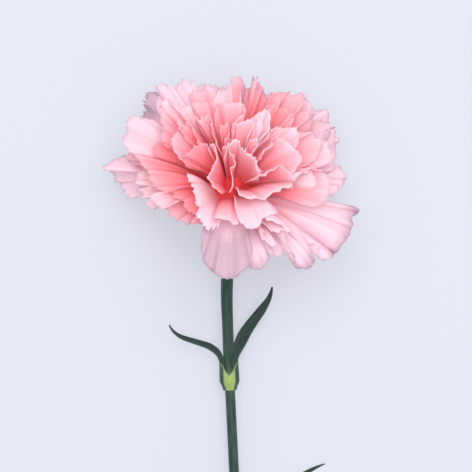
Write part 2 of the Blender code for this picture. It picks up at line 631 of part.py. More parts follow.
def build_stem(collection, path):
    spacing = 8
    chosen = []
    for index, (point, _) in enumerate(path):
        near = min(abs(point.y - node) for node in (UPPER_NODE_Y, LOWER_NODE_Y))
        every = 3 if near < 2 * NODE_HALF_LENGTH or index < 40 else spacing
        if index % every == 0 or index == len(path) - 1:
            chosen.append(point)
    curve = bpy.data.curves.new("stem", "CURVE")
    curve.dimensions = "3D"
    curve.bevel_depth = 1.0
    curve.bevel_resolution = 3
    curve.use_fill_caps = True
    spline = curve.splines.new("POLY")
    spline.points.add(len(chosen) - 1)
    for knot, point in zip(spline.points, chosen):
        knot.co = (*point, 1.0)
        knot.radius = stem_radius(point.y)
    tube = bpy.data.objects.new("stem_tube", curve)
    collection.objects.link(tube)
    mesh = bpy.data.meshes.new_from_object(tube.evaluated_get(bpy.context.evaluated_depsgraph_get()))
    bpy.data.objects.remove(tube, do_unlink=True)

    bm = bmesh.new()
    bm.from_mesh(mesh)
    bmesh.ops.remove_doubles(bm, verts=bm.verts, dist=1e-6)
    end, direction = path[-1]
    across = Vector((1, 0, 0))
    normal = direction.copy()
    normal.rotate(Matrix.Rotation(CUT_SLANT, 3, across))
    cut_at = end - direction * (STEM_FOOT_RADIUS * math.tan(CUT_SLANT) + 0.5 * MM)
    bmesh.ops.bisect_plane(bm, geom=bm.verts[:] + bm.edges[:] + bm.faces[:], dist=1e-6,
                           plane_co=cut_at, plane_no=normal, clear_outer=True)
    bmesh.ops.holes_fill(bm, edges=[edge for edge in bm.edges if edge.is_boundary], sides=0)
    bmesh.ops.recalc_face_normals(bm, faces=bm.faces)
    new_object("stem", mesh_from("stem", bm), collection, new_material("stem_green", STEM_GREEN, 0.5))


def leaf_width(share):
    """Half width of a leaf from foot to tip, as a share of its widest."""
    return float(np.interp(share, (0.0, 0.2, 0.45, 0.75, 0.92, 1.0), (1.0, 0.85, 1.0, 0.72, 0.3, 0.08)))


def leaf_object(name, leaf, foot, direction, clasp, collection, material):
    """One blade: it clasps the stem at its foot and opens into a shallow channel."""
    right = direction.cross(Vector((0, 0, 1))).normalized()
    up = right.cross(direction).normalized()
    around = math.radians(leaf.around)
    outward = right * math.cos(around) + up * math.sin(around)
    sideways = direction.cross(outward)
    stations = 3 * (len(leaf.headings) - 1)
    length = leaf.length * MM
    centre = foot + outward * clasp
    rings = []
    for station in range(stations + 1):
        share = station / stations
        heading = math.radians(float(np.interp(share * (len(leaf.headings) - 1),
                                               range(len(leaf.headings)), leaf.headings)))
        ahead = direction * math.cos(heading) + outward * math.sin(heading)
        inward = direction * math.sin(heading) - outward * math.cos(heading)
        twist = math.radians(leaf.twist) * float(smoothstep((share - 0.26) / 0.45))
        wide = sideways * math.cos(twist) + inward * math.sin(twist)
        deep = inward * math.cos(twist) - sideways * math.sin(twist)
        open_up = float(smoothstep((share - 0.08) / 0.25))
        half_width = leaf.width * MM / 2 * leaf_width(share)
        half_angle = math.radians(62 + (38 - 62) * open_up)
        curve_radius = clasp + (half_width / math.sin(half_angle) - clasp) * open_up
        ring = []
        for cell in range(LEAF_CELLS + 1):
            angle = half_angle * (2 * cell / LEAF_CELLS - 1)
            ring.append(centre + wide * (curve_radius * math.sin(angle))
                        + deep * (curve_radius * (1 - math.cos(angle))))
        rings.append(ring)
        centre = centre + ahead * (length / stations)

    bm = bmesh.new()
    bmesh.ops.create_grid(bm, x_segments=LEAF_CELLS, y_segments=stations, size=1.0)
    lowest = LEAF_THICKNESS / 2 + 0.1 * MM
    for vert in bm.verts:
        cell = round((vert.co.x + 1) / 2 * LEAF_CELLS)
        station = round((vert.co.y + 1) / 2 * stations)
        vert.co = rings[station][cell]
        above = (vert.co.z - lowest) / LEAF_SOFTNESS
        vert.co.z = lowest + LEAF_SOFTNESS * float(np.logaddexp(0.0, above))
    bmesh.ops.triangulate(bm, faces=bm.faces)
    obj = new_object(name, mesh_from(name, bm), collection, material)
    add_thickness(obj, LEAF_THICKNESS)
    apply_modifiers(obj)
    return obj


def build_leaf_pair(name, leaves, node_y, path, collection):
    """Two blades fused to the sheath that joins them round the stem."""
    point, step = min(path, key=lambda place: abs(place[0].y - node_y))
    direction = -step
    material = new_material(name + "_green", LEAF_GREEN, 0.55)
    half = SHEATH_HALF_LENGTH
    clasp = stem_radius(node_y) + CLEARANCE + 0.1 * MM + LEAF_THICKNESS / 2
    bm = turned([(clasp, -half), (clasp, half)], 16)
    pair = new_object(name, mesh_from(name, bm), collection, material)
    add_thickness(pair, LEAF_THICKNESS)
    apply_modifiers(pair)
    turn = direction.to_track_quat("Z", "Y").to_matrix().to_4x4()
    pair.data.transform(Matrix.Translation(point) @ turn)
    blades = new_collection(name + "_blades")
    foot = point - direction * (half - 0.2 * MM)
    for index, leaf in enumerate(leaves):
        leaf_object("%s_blade_%d" % (name, index), leaf, foot, direction, clasp, blades, material)
    union_of(pair, blades)
    keep_largest_shell(pair)


def main():
    remove_startup_objects()
    collection = new_collection("cut_carnation")
    cutters = new_collection("cutters")
    build_bloom(collection, cutters)
    build_calyx(collection)
    build_epicalyx(collection)
    path = stem_path()
    build_stem(collection, path)
    build_leaf_pair("leaf_pair_upper", UPPER_LEAVES, UPPER_NODE_Y, path, collection)
    build_leaf_pair("leaf_pair_lower", LOWER_LEAVES, LOWER_NODE_Y, path, collection)


main()
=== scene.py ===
"""Looks of a cut carnation that lies on a table: petals, calyx, bracts, stem and leaves.

Run inside Blender 4.5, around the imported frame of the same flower.
"""
import math
import random
from collections import namedtuple

import bpy
import numpy as np
from mathutils import Matrix, Vector


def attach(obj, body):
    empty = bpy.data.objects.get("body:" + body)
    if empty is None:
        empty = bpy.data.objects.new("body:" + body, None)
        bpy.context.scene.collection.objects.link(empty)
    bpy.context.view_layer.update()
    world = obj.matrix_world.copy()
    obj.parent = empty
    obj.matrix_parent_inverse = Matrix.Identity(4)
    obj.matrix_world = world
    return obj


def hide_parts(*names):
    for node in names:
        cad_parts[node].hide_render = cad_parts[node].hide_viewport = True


bl_info = {
    "name": "Cut carnation",
    "version": (1, 0, 0),
    "blender": (4, 5, 0),
    "location": "View3D > Sidebar > Carnation",
    "description": "Builds a cut carnation piece by piece around its frame",
    "category": "Object",
}

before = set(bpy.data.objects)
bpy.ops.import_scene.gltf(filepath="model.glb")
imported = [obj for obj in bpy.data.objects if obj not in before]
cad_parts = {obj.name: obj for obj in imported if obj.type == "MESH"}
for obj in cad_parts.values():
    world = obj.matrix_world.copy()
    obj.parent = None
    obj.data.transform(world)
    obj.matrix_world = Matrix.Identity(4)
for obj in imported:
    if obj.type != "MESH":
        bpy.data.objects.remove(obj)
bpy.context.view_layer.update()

MM = 0.001
CLEARANCE = 0.3 * MM

# Mouth of the calyx, and how the axis of the head rises and leans to the right
MOUTH = Vector((0.4, 74.8, 28.6)) * MM
HEAD_RISE = math.radians(36)
HEAD_LEAN = math.radians(3.5)

# Lowest level of a petal's middle surface on the table, the layers in which petals lie there,
# and how softly petals and leaves settle
TABLE_LEVEL = 0.32 * MM
TABLE_LAYER = 0.45 * MM
TABLE_LAYERS = 3
TABLE_SOFTNESS = 0.3 * MM

# Petals: lengths in millimetres
WIDEST_OPENING = math.radians(100)
CLAW_RING_RADIUS = 5.2
CLAW_HALF_WIDTH = 1.6
RUFFLE_LENGTH = 13.0
RUFFLE_DEPTH = 1.4
RUFFLE_SWAY = 0.35
FRILL_LENGTH = 4.4
FRILL_DEPTH = 0.42
CORNER_ROUNDING = 0.14
GASH_CHANCE = 0.13
COLUMN_WIDTH = 0.6
FEWEST_COLUMNS = 16
PETAL_ROWS = 30
TISSUE_SCALE = 40.0

# Paleness of petal tissue: at its foot, what it gains on the way out, by distance from the
# foot, by streaks, by clouds and at the rim, and its range. Past the pale stops the ramp turns greyish
# mauve, a painted shade.
FOOT_DEEPNESS = -0.27
SHARE_PALENESS = 0.5
LENGTH_PALENESS = 0.5
STREAK_PALENESS = 0.20
CLOUD_PALENESS = 0.16
RIM_PALENESS = 0.06
RIM_NARROWNESS = 9.0
PALENESS_RANGE = 0.7
LIGHT_THROUGH = 0.56
PETAL_STREAKS = (130.0, 3.0, 1.0)
PETAL_CLOUDS = (9.0, 5.0, 1.0)

# Waxy skin of the green parts and of the heart
SKIN_SCALE = 10 * MM
WAX_STREAKS = (34.0, 1.6, 1.0)
WAX_PATCHES = (7.0, 1.1, 1.0)
WAX_CONTRAST = 3.2
WAX_START = -0.35
SKIN_GLOSS = 0.12
SKIN_SHEEN = 0.16

# A petal's paleness, how far it runs up the head's axis and arches in millimetres, how strongly
# it is ruffled and toothed, and its rim's points in millimetres from the mouth of the calyx
# The paleness is partly each petal's tone and partly painted light and shade: raised on petals that lie
# in shade to paint them lighter, and on the bottom petal high enough to reach the greyish mauve painted
# shade
Petal = namedtuple("Petal", "pale knee arch ruffle teeth rim")
PETALS = (
    # pressed on the table
    Petal(0.12, 5, 2, 1.2, 1.0, ((-15, 35, -35), (-5, 41, -36), (5, 42, -36), (15, 38, -35))),
    Petal(0.12, 5, 2, 1.2, 1.0, ((-30, 24, -34), (-24, 33, -35), (-15, 38, -35), (-7, 40, -35))),
    Petal(0.12, 5, 2, 1.2, 1.0, ((7, 40, -35), (17, 38, -35), (26, 33, -35), (33, 23, -34))),
    Petal(0.12, 5, 2, 1.2, 1.0, ((-37, 7, -24), (-35, 16, -29), (-31, 24, -32), (-24, 31, -33))),
    Petal(0.12, 5, 2, 1.2, 1.0, ((25, 32, -33), (33, 25, -32), (36, 16, -29), (36, 7, -24))),
    Petal(0.12, 6, 2, 1.2, 1.0, ((-22, 34, -22), (-13, 40, -24), (-3, 41, -24), (4, 41, -23))),
    Petal(0.12, 6, 2, 1.2, 1.0, ((0, 41, -24), (9, 40, -25), (19, 36, -24), (27, 31, -22))),
    # behind
    Petal(0.48, 8, 2, 1.0, 0.8, (
        (-33, 26, -17), (-32, 31, -17), (-30, 35, -16), (-29, 38, -15), (-26, 39, -14), (-24, 37, -13))),
    Petal(0.18, 8, 2, 0.8, 1.0, (
        (-28, 33, -12), (-27, 37, -12), (-26, 40, -11), (-24, 41, -11), (-21, 40, -10), (-19, 37, -10))),
    Petal(0.20, 8, 2, 0.9, 1.0, (
        (-24, 36, -13), (-22, 39, -12), (-19, 41, -12), (-17, 43, -12), (-15, 42, -12), (-13, 39, -11),
        (-11, 36, -10))),
    Petal(-0.02, 8, 2, 1.0, 0.8, (
        (-16, 35, -7), (-15, 38, -7), (-12, 39, -7), (-9, 40, -7), (-6, 39, -7), (-4, 37, -7))),
    Petal(0.14, 8, 2, 1.4, 1.0, (
        (-14, 39, -15), (-12, 41, -15), (-10, 43, -15), (-8, 42, -15), (-6, 39, -15))),
    Petal(0.19, 8, 2, 0.5, 0.5, (
        (-8, 35, -4), (-6, 37, -4), (-4, 39, -5), (-1, 40, -5), (0, 42, -6), (2, 42, -6), (4, 41, -6))),
    Petal(-0.06, 8, 2, 2.2, 0.8, (
        (-1, 41, -8), (1, 42, -8), (3, 43, -8), (6, 41, -8), (8, 41, -7), (9, 42, -7), (11, 40, -6),
        (12, 37, -6))),
    Petal(-0.14, 8, 2, 1.7, 0.8, (
        (6, 40, -4), (9, 40, -4), (11, 38, -4), (13, 37, -3), (16, 37, -3), (18, 36, -3))),
    Petal(-0.14, 8, 2, 2.0, 0.8, (
        (12, 36, -5), (15, 37, -5), (17, 38, -5), (18, 39, -5), (21, 37, -4), (24, 38, -5),
        (26, 36, -6))),
    Petal(0.18, 8, 2, 1.5, 1.2, (
        (20, 36, -8), (22, 37, -8), (24, 38, -9), (26, 38, -9), (28, 36, -9), (30, 33, -8))),
    Petal(0.27, 7, 2, 1.5, 1.3, (
        (25, 36, -10), (28, 34, -10), (30, 33, -11), (33, 31, -11), (35, 28, -11), (37, 24, -11),
        (37, 20, -11))),
    Petal(0.29, 8, 2, 1.4, 1.3, (
        (24, 27, -4), (27, 29, -4), (29, 29, -5), (32, 29, -6), (34, 27, -6), (35, 23, -6),
        (35, 19, -6))),
    Petal(0.28, 7, 2, 1.2, 1.3, (
        (35, 29, -13), (37, 25, -13), (37, 21, -13), (37, 16, -13), (35, 12, -12), (33, 10, -12))),
    Petal(0.20, 7, 2, 1.3, 1.2, (
        (32, 12, -12), (35, 13, -13), (38, 12, -14), (40, 10, -14), (40, 7, -14), (38, 5, -12),
        (35, 3, -11))),
    Petal(-0.06, 8, 2, 1.8, 0.9, (
        (17, 28, 1), (20, 31, 0), (23, 32, -1), (26, 31, -2), (28, 28, -2), (29, 24, -2))),
    Petal(-0.12, 8, 2, 1.9, 0.7, (
        (9, 30, 3), (12, 33, 2), (15, 34, 1), (18, 33, 0), (21, 31, 0), (23, 27, 1))),
    Petal(0.11, 8, 2, 1.2, 0.8, (
        (26, 24, 0), (29, 24, -1), (32, 22, -2), (34, 19, -3), (34, 15, -3), (32, 11, -3))),
    # left
    Petal(0.23, 6, 2, 2.0, 1.4, (
        (-34, 16, -9), (-38, 15, -11), (-42, 15, -13), (-43, 13, -14), (-43, 10, -16), (-41, 7, -15),
        (-38, 4, -14), (-35, 2, -13), (-31, -1, -10))),
    Petal(0.24, 7, 2, 0.8, 0.8, (
        (-31, 32, -7), (-34, 30, -6), (-36, 27, -5), (-37, 22, -4), (-37, 19, -3), (-35, 16, -2))),
    Petal(-0.03, 6, 2, 0.9, 0.8, (
        (-39, 19, -7), (-37, 16, -6), (-34, 14, -5), (-32, 14, -4), (-31, 11, -3))),
    Petal(-0.01, 8, 2, 0.8, 1.0, (
        (-37, 18, 0), (-34, 16, 1), (-31, 13, 2), (-29, 11, 4), (-28, 8, 5), (-26, 5, 6), (-23, 3, 7),
        (-20, 3, 9))),
    Petal(0.23, 6, 2, 1.3, 1.2, (
        (-36, 12, -5), (-35, 8, -5), (-33, 6, -4), (-32, 3, -2), (-30, 0, -1), (-27, -2, 1), (-23, -2, 3),
        (-21, 0, 4))),
    Petal(0.23, 6, 2, 0.9, 0.8, ((-30, 2, 4), (-27, 0, 5), (-24, -2, 6), (-21, 0, 7), (-20, 1, 8))),
    Petal(0.13, 6, 2, 1.2, 0.9, (
        (-25, 1, 2), (-23, -2, 2), (-21, -5, 4), (-18, -6, 6), (-14, -8, 9), (-9, -8, 11), (-7, -7, 13))),
    Petal(-0.01, 7, 2, 0.9, 0.8, ((-22, 5, 7), (-20, 2, 8), (-17, 0, 9), (-15, -3, 11), (-12, -6, 13))),
    Petal(-0.03, 9, 2, 0.8, 0.8, (
        (-24, 35, -1), (-25, 33, 0), (-24, 29, 2), (-24, 25, 3), (-24, 22, 4), (-25, 19, 4))),
    Petal(0.11, 9, 2, 0.7, 1.0, (
        (-27, 32, -1), (-25, 34, 0), (-23, 35, 1), (-20, 34, 3), (-17, 33, 4), (-13, 33, 5),
        (-11, 32, 6))),
    Petal(-0.17, 9, 1, 0.6, 0.6, (
        (-29, 16, 3), (-27, 18, 4), (-24, 20, 6), (-22, 20, 8), (-19, 17, 9), (-18, 14, 11))),
    Petal(0.01, 10, 1, 0.5, 1.0, (
        (-23, 33, 6), (-21, 30, 8), (-18, 27, 9), (-18, 25, 10), (-20, 22, 11), (-20, 19, 12),
        (-18, 15, 13), (-16, 13, 14))),
    # right
    Petal(0.08, 8, 2, 0.9, 0.8, (
        (19, 20, 4), (22, 22, 3), (24, 24, 2), (27, 24, 1), (30, 22, 0), (31, 19, 0), (30, 15, 1),
        (28, 12, 3))),
    Petal(0.08, 8, 3, 0.8, 0.5, (
        (22, 8, 12), (25, 11, 9), (28, 11, 8), (31, 10, 5), (33, 8, 4), (33, 4, 5), (32, -1, 6),
        (29, -3, 8))),
    Petal(0.34, 6, 2, 1.0, 0.8, ((32, 7, -8), (34, 7, -8), (37, 6, -8), (37, 4, -8), (35, 0, -6))),
    # front right
    Petal(0.49, 5, 2, 2.2, 0.35, (
        (30, 0, -5), (34, 0, -5), (38, 0, -4), (41, -1, -2), (42, -5, 0), (40, -10, 2), (38, -13, 3),
        (36, -16, 4), (33, -19, 5), (30, -19, 5), (27, -17, 8), (24, -13, 9))),
    Petal(0.60, 5, 3, 0.9, 0.3, (
        (17, -16, 11), (19, -18, 11), (21, -21, 10), (24, -22, 9), (26, -22, 8), (28, -19, 8),
        (27, -16, 9), (25, -13, 10))),
    Petal(0.42, 5, 3, 0.8, 0.4, ((10, -16, 14), (13, -18, 14), (16, -18, 12), (19, -17, 11))),
    Petal(0.65, 5, 3, 0.4, 0.3, (
        (4, -17, 16), (5, -20, 17), (7, -22, 17), (10, -22, 16), (12, -20, 16), (13, -17, 17),
        (13, -14, 17))),
    Petal(0.34, 5, 3, 1.2, 1.3, (
        (9, -8, 20), (11, -10, 20), (12, -13, 19), (14, -16, 18), (17, -17, 16))),
    Petal(0.36, 5, 3, 1.2, 1.3, (
        (12, -8, 20), (14, -10, 19), (17, -12, 17), (19, -15, 16), (20, -17, 15))),
    # bottom: its paleness carries most of its blade into the greyish mauve painted shade
    Petal(0.92, 5, 6, 0.4, 0.12, (
        (-10, -8, 15), (-10, -11, 16), (-10, -16, 17), (-9, -20, 17), (-6, -23, 18), (-3, -25, 19),
        (0, -25, 19), (2, -24, 19), (6, -21, 19), (7, -17, 19), (6, -12, 19))),
    # front
    Petal(0.46, 5, 4, 0.5, 0.9, (
        (-18, 10, 14), (-15, 8, 15), (-13, 4, 17), (-12, -1, 18), (-11, -5, 19), (-9, -9, 19),
        (-7, -10, 19), (-5, -9, 20), (-3, -6, 19))),
    Petal(0.20, 7, 4, 0.3, 0.25, ((-7, -7, 20), (-5, -6, 21), (-2, -6, 22), (1, -8, 22), (3, -9, 22))),
    Petal(0.44, 10, 5, 0.3, 0.25, (
        (1, -6, 23), (4, -9, 23), (7, -9, 23), (9, -8, 23), (10, -6, 22), (12, -5, 21), (15, -5, 20),
        (18, -7, 18))),
    Petal(0.48, 9, 4, 0.6, 0.5, (
        (7, -9, 22), (9, -8, 22), (10, -6, 22), (12, -6, 21), (15, -8, 20), (17, -9, 18), (20, -11, 17),
        (22, -14, 15))),
    Petal(0.18, 8, 3, 0.5, 0.4, (
        (1, 3, 26), (3, 1, 26), (6, 1, 25), (9, 1, 24), (12, 2, 23), (15, 3, 21), (18, 4, 20),
        (21, 5, 18), (24, 5, 16))),
    Petal(0.30, 8, 3, 0.6, 0.5, (
        (22, 6, 13), (23, 9, 12), (24, 10, 11), (27, 9, 8), (29, 6, 6), (29, 1, 6))),
    # heart left
    Petal(-0.05, 11, 0, 0.8, 0.8, (
        (-15, 32, 4), (-13, 34, 4), (-10, 34, 5), (-7, 34, 6), (-4, 33, 7), (-2, 31, 8))),
    Petal(-0.01, 11, 0, 0.5, 0.5, (
        (-7, 31, 9), (-5, 33, 9), (-2, 33, 10), (2, 33, 11), (4, 32, 12), (3, 28, 14), (1, 26, 17),
        (0, 24, 18))),
    Petal(-0.01, 12, 0, 0.9, 1.3, (
        (-14, 28, 12), (-12, 30, 12), (-11, 28, 13), (-9, 29, 13), (-8, 27, 14), (-7, 24, 15))),
    Petal(-0.07, 12, 0, 0.7, 0.8, (
        (-19, 22, 12), (-17, 25, 12), (-15, 26, 13), (-13, 24, 14), (-11, 21, 16), (-10, 18, 17))),
    Petal(-0.05, 10, 0, 0.6, 1.2, (
        (-18, 12, 14), (-17, 15, 15), (-15, 17, 16), (-13, 18, 17), (-11, 19, 17), (-8, 19, 18),
        (-7, 16, 19))),
    Petal(0.07, 8, 0, 0.3, 0.5, (
        (-8, 21, 18), (-7, 20, 19), (-5, 18, 20), (-5, 15, 21), (-6, 12, 22), (-7, 9, 23), (-7, 6, 24),
        (-6, 4, 25), (-4, 2, 26))),
    Petal(-0.03, 11, 0, 0.5, 0.8, ((-9, 26, 13), (-8, 27, 13), (-6, 24, 15), (-5, 21, 17), (-4, 18, 19))),
    Petal(-0.01, 11, 0, 0.5, 1.0, ((-5, 23, 15), (-4, 25, 15), (-2, 26, 15), (-1, 23, 16), (-2, 20, 18))),
    Petal(0.03, 8, 0, 0.4, 0.4, (
        (-3, 21, 20), (-1, 18, 20), (0, 15, 22), (1, 12, 24), (0, 8, 25), (0, 5, 26), (-1, 2, 27))),
    # heart right
    Petal(0.18, 8, 0, 0.5, 0.9, (
        (-3, 16, 21), (-1, 19, 20), (2, 20, 19), (4, 18, 20), (6, 16, 21), (8, 13, 22), (10, 10, 22),
        (11, 7, 22))),
    Petal(0.09, 11, 0, 0.6, 0.9, (
        (-1, 22, 16), (0, 24, 15), (2, 26, 15), (5, 27, 15), (7, 27, 15), (8, 24, 16))),
    Petal(0.19, 11, 0, 0.7, 1.0, (
        (6, 21, 16), (7, 24, 15), (8, 26, 14), (9, 28, 14), (11, 26, 14), (11, 22, 14))),
    Petal(0.29, 11, 0, 0.5, 0.6, (
        (6, 26, 10), (7, 28, 9), (9, 30, 8), (11, 31, 8), (13, 31, 8), (13, 27, 10), (11, 24, 12))),
    Petal(0.11, 10, 0, 0.8, 1.2, (
        (5, 17, 18), (6, 19, 18), (8, 21, 18), (9, 19, 18), (8, 16, 19), (9, 13, 20), (10, 11, 20),
        (12, 9, 20))),
    Petal(0.13, 10, 0, 0.9, 0.5, (
        (9, 15, 17), (11, 18, 16), (14, 20, 14), (17, 21, 12), (20, 19, 12), (23, 16, 12), (23, 12, 13),
        (22, 7, 14))),
    Petal(0.11, 11, 0, 1.0, 0.8, (
        (10, 20, 11), (12, 23, 10), (15, 25, 9), (18, 25, 8), (22, 25, 8), (23, 22, 9), (24, 18, 10))),
    Petal(0.12, 10, 0, 0.6, 0.4, (
        (8, 6, 23), (10, 9, 22), (13, 10, 20), (16, 11, 18), (19, 10, 16), (22, 8, 15), (23, 5, 14))),
)

# Heart of the bloom, in millimetres: heights above the mouth, and radii
HEART_HEIGHTS = (-26.4, -26.0, -15.8, 0.0, 2.5, 5.5, 9.5, 12.0, 12.9)
HEART_RADII = (0.0, 2.8, 4.7, 5.7, 8.0, 8.6, 6.8, 3.4, 0.0)
HEART_ROWS = 40
HEART_COLUMNS = 48

# Calyx: outer radius at heights above its mouth
CALYX_LENGTH = 28.0 * MM
CALYX_HEIGHTS = tuple(h * MM for h in (-28.0, -27.2, -25.5, -21.0, -14.0, -8.0, 0.0))
CALYX_RADII = tuple(r * MM for r in (3.2, 4.0, 4.9, 6.0, 7.0, 7.4, 7.3))
CALYX_WALL = 0.7 * MM
CALYX_TEETH = 5
CALYX_TOOTH_HEIGHT = 6.0 * MM
CALYX_TOOTH_FOOT = -11.0 * MM
CALYX_TOOTH_ROUNDNESS = 0.8
CALYX_COLUMNS = 160
CALYX_ROWS = 24

# Bracts round the foot of the calyx: heights of their cup, then of their tips and valleys
BRACTS = 4
BRACT_CUP_HEIGHTS = tuple(h * MM for h in (-29.7, -29.1, -28.6, -27.4))
BRACT_CUP_ROWS = 12
BRACT_CUP_WIDENING = 0.5 * MM
BRACT_TIP = -17.5 * MM
BRACT_VALLEY = -25.5 * MM
BRACT_LOBE_FOOT = BRACT_VALLEY - 0.8 * MM
BRACT_ROUNDNESS = 0.75
BRACT_ROWS = 20
BRACT_WALL = 0.6 * MM
BRACT_AWAY = 0.8 * MM

# Stem: it leans by one angle above its swollen joints, by one between them and by one below
STEM_TOP_RADIUS = 2.15 * MM
STEM_RADIUS = 1.95 * MM
STEM_FOOT_RADIUS = 1.75 * MM
STEM_END_Y = MOUTH.y - 194.0 * MM
STEM_BEND = 16.5 * MM
STEM_LEANS = tuple(math.radians(a) for a in (2.0, 2.8, 1.2))
STEEPEST_FALL = math.radians(6)
NODE_BULGE = 0.6 * MM
NODE_HALF_LENGTH = 3.5 * MM
NODE_SPREAD = 0.7 * NODE_HALF_LENGTH
NODE_GLOW_SPREAD = 0.85 * NODE_HALF_LENGTH
UPPER_NODE_Y = MOUTH.y - 61.5 * MM
LOWER_NODE_Y = MOUTH.y - 133.0 * MM
STEM_END_HEIGHT = 0.92 * STEM_FOOT_RADIUS
CUT_SLANT = math.radians(35)
CUT_MARGIN = 0.5 * MM
CUT_RINGS = (0.8, 0.4, 0.0)
TOP_RINGS = (0.8, 0.0)
PATH_STEP = 0.5 * MM
STEM_COLUMNS = 32

# Leaves: where each leaves the stem's side (0 = right, 90 = up), its length and width in
# millimetres, how far its blade twists, and its angle from the stem from foot to tip. A blade
# wraps the stem by LEAF_FOOT_ANGLE to each side, and is less curved further out.
LEAF_THICKNESS = 0.5 * MM
LEAF_LEVEL = LEAF_THICKNESS / 2 + 0.1 * MM
LEAF_COLUMNS = 20
LEAF_ROWS = 90
LEAF_FOOT = -0.6 * MM
LEAF_FOOT_ANGLE = 44
LEAF_BLADE_ANGLE = 38
LEAF_PALE_FOOT = 0.32
LEAF_OUTLINE = ((0.0, 1.0), (0.2, 0.85), (0.45, 1.0), (0.75, 0.72), (0.92, 0.3), (1.0, 0.08))
Leaf = namedtuple("Leaf", "around length width twist headings")
UPPER_LEAVES = (
    Leaf(8, 36.6, 4.2, -70, (0, 0, 22, 35, 40, 34, 8)),
    Leaf(172, 30.5, 3.5, 38, (0, 0, 10, 48, 68, 70, 66, 46, 16)),
)
LOWER_LEAVES = (
    Leaf(-12, 54, 4.6, -60, (0, 4, 22, 36, 46, 52, 60, 72)),
    Leaf(140, 50, 4.4, 30, (0, 4, 20, 34, 46, 60, 78, 96)),
)

# Sheaths: cups that start below the joint, widen over a taper, and reach higher behind the
# blades than between them
SHEATH_FOOT = -3.4 * MM
SHEATH_TAPER = 3.4 * MM
SHEATH_FRONT = 2.0 * MM
SHEATH_SIDE = 6.6 * MM
SHEATH_AWAY = 0.5 * MM
SHEATH_FOOT_NARROWING = 0.33
SHEATH_TOP_NARROWING = 0.04
SHEATH_RIM = 0.6 * MM
SHEATH_COLUMNS = 96
SHEATH_ROWS = 40

# Stage: the light's place, and the camera's place across and along from the mouth
LIGHT_PLACE = (0.08, 0.28, 1.05)
CAMERA_ACROSS = 1.5 * MM
CAMERA_ALONG = -11.1 * MM


def colour(name, description, default):
    """A colour among the settings."""
    return bpy.props.FloatVectorProperty(
        name=name, description=description, default=default, size=3, min=0.0, max=1.0,
        subtype="COLOR")


def distance(name, description, default):
    """A distance among the settings, in metres."""
    return bpy.props.FloatProperty(
        name=name, description=description, default=default, min=0.0, subtype="DISTANCE",
        unit="LENGTH")


class PetalSettings(bpy.types.PropertyGroup):
    """Sizes and colours of the petals."""
    thickness: distance("Thickness", "Thickness of a petal's blade", 0.3 * MM)
    tooth_pitch: distance("Tooth pitch", "Mean distance between a rim's teeth", 1.5 * MM)
    tooth_depth: distance("Tooth depth", "Depth of the deepest teeth", 1.3 * MM)
    throat: colour("Throat", "Colour of a petal at its foot", (0.82, 0.05, 0.055))
    coral: colour("Coral", "Colour of an inner petal's blade", (0.96, 0.19, 0.215))
    pink: colour("Pink", "Colour of a petal towards its rim", (0.96, 0.42, 0.48))
    pale: colour("Pale", "Colour of a petal's rim", (0.95, 0.76, 0.82))
    # Painted shade: the greyish mauve at the top of the petals' ramp stands for shade on the outer
    # petals, not for their age
    painted_shade: colour("Lilac", "Colour of the oldest petals at their rims", (0.72, 0.54, 0.62))


class GreenSettings(bpy.types.PropertyGroup):
    """Colours of the green parts."""
    stem: colour("Stem", "Colour of the stem", (0.007, 0.031, 0.018))
    joint: colour("Joint", "Colour of the stem's swollen joints", (0.28, 0.40, 0.09))
    cut: colour("Cut", "Colour of the stem's cut end", (0.50, 0.56, 0.30))
    leaf: colour("Leaf", "Colour of the leaves", (0.007, 0.020, 0.014))
    leaf_margin: colour("Leaf margin", "Colour of a leaf's margins at its foot", (0.19, 0.28, 0.16))
    sheath: colour("Sheath", "Colour of a sheath between its leaves", (0.29, 0.37, 0.10))
    calyx: colour("Calyx", "Colour of the calyx", (0.03, 0.075, 0.03))
    calyx_rim: colour("Calyx rim", "Colour to which the calyx pales", (0.42, 0.46, 0.22))
    bloom: colour("Waxy bloom", "Colour of the wax on green parts", (0.070, 0.105, 0.100))


class StageSettings(bpy.types.PropertyGroup):
    """Floor, light and camera."""
    floor: colour("Floor", "Colour of the floor", (0.200, 0.206, 0.231))
    floor_glow: bpy.props.FloatProperty(
        name="Floor glow", description="How strongly the floor shines by itself",
        default=2.25, min=0.0)
    room_light: bpy.props.FloatProperty(
        name="Room light", description="Strength of the light from all around",
        default=0.85, min=0.0)
    light_power: bpy.props.FloatProperty(
        name="Light power", description="Power of the light overhead", default=13.0,
        min=0.0, unit="POWER")
    light_size: distance("Light size", "Side of the square light overhead", 0.9)
    view_width: distance("View width", "Width that the camera sees at the bloom", 158.6 * MM)
    lens: bpy.props.FloatProperty(
        name="Lens", description="Focal length of the camera", default=120.0, unit="CAMERA")


def head_axes():
    """Right, back and axis of the head."""
    axis = Vector((math.sin(HEAD_LEAN) * math.cos(HEAD_RISE),
                   math.cos(HEAD_LEAN) * math.cos(HEAD_RISE),
                   math.sin(HEAD_RISE)))
    right = Vector((math.cos(HEAD_LEAN), -math.sin(HEAD_LEAN), 0.0))
    return right, axis.cross(right), axis


def smooth_through(points, share):
    """A smooth curve through points, read at shares of the way through them."""
    points = np.array(points, float)
    count = len(points) - 1
    padded = np.vstack([2 * points[0] - points[1], points, 2 * points[-1] - points[-2]])
    place = np.clip(share, 0.0, 1.0) * count
    first = np.minimum(place.astype(int), count - 1)
    past = (place - first)[:, None]
    before, start, end, after = (padded[first + step] for step in range(4))
    return 0.5 * (2 * start + (end - before) * past
                  + (2 * before - 5 * start + 4 * end - after) * past ** 2
                  + (3 * start - before - 3 * end + after) * past ** 3)


def smoothstep(x):
    x = np.clip(x, 0.0, 1.0)
    return x * x * (3.0 - 2.0 * x)


def unit(vectors):
    return vectors / np.maximum(np.linalg.norm(vectors, axis=-1, keepdims=True), 1e-9)


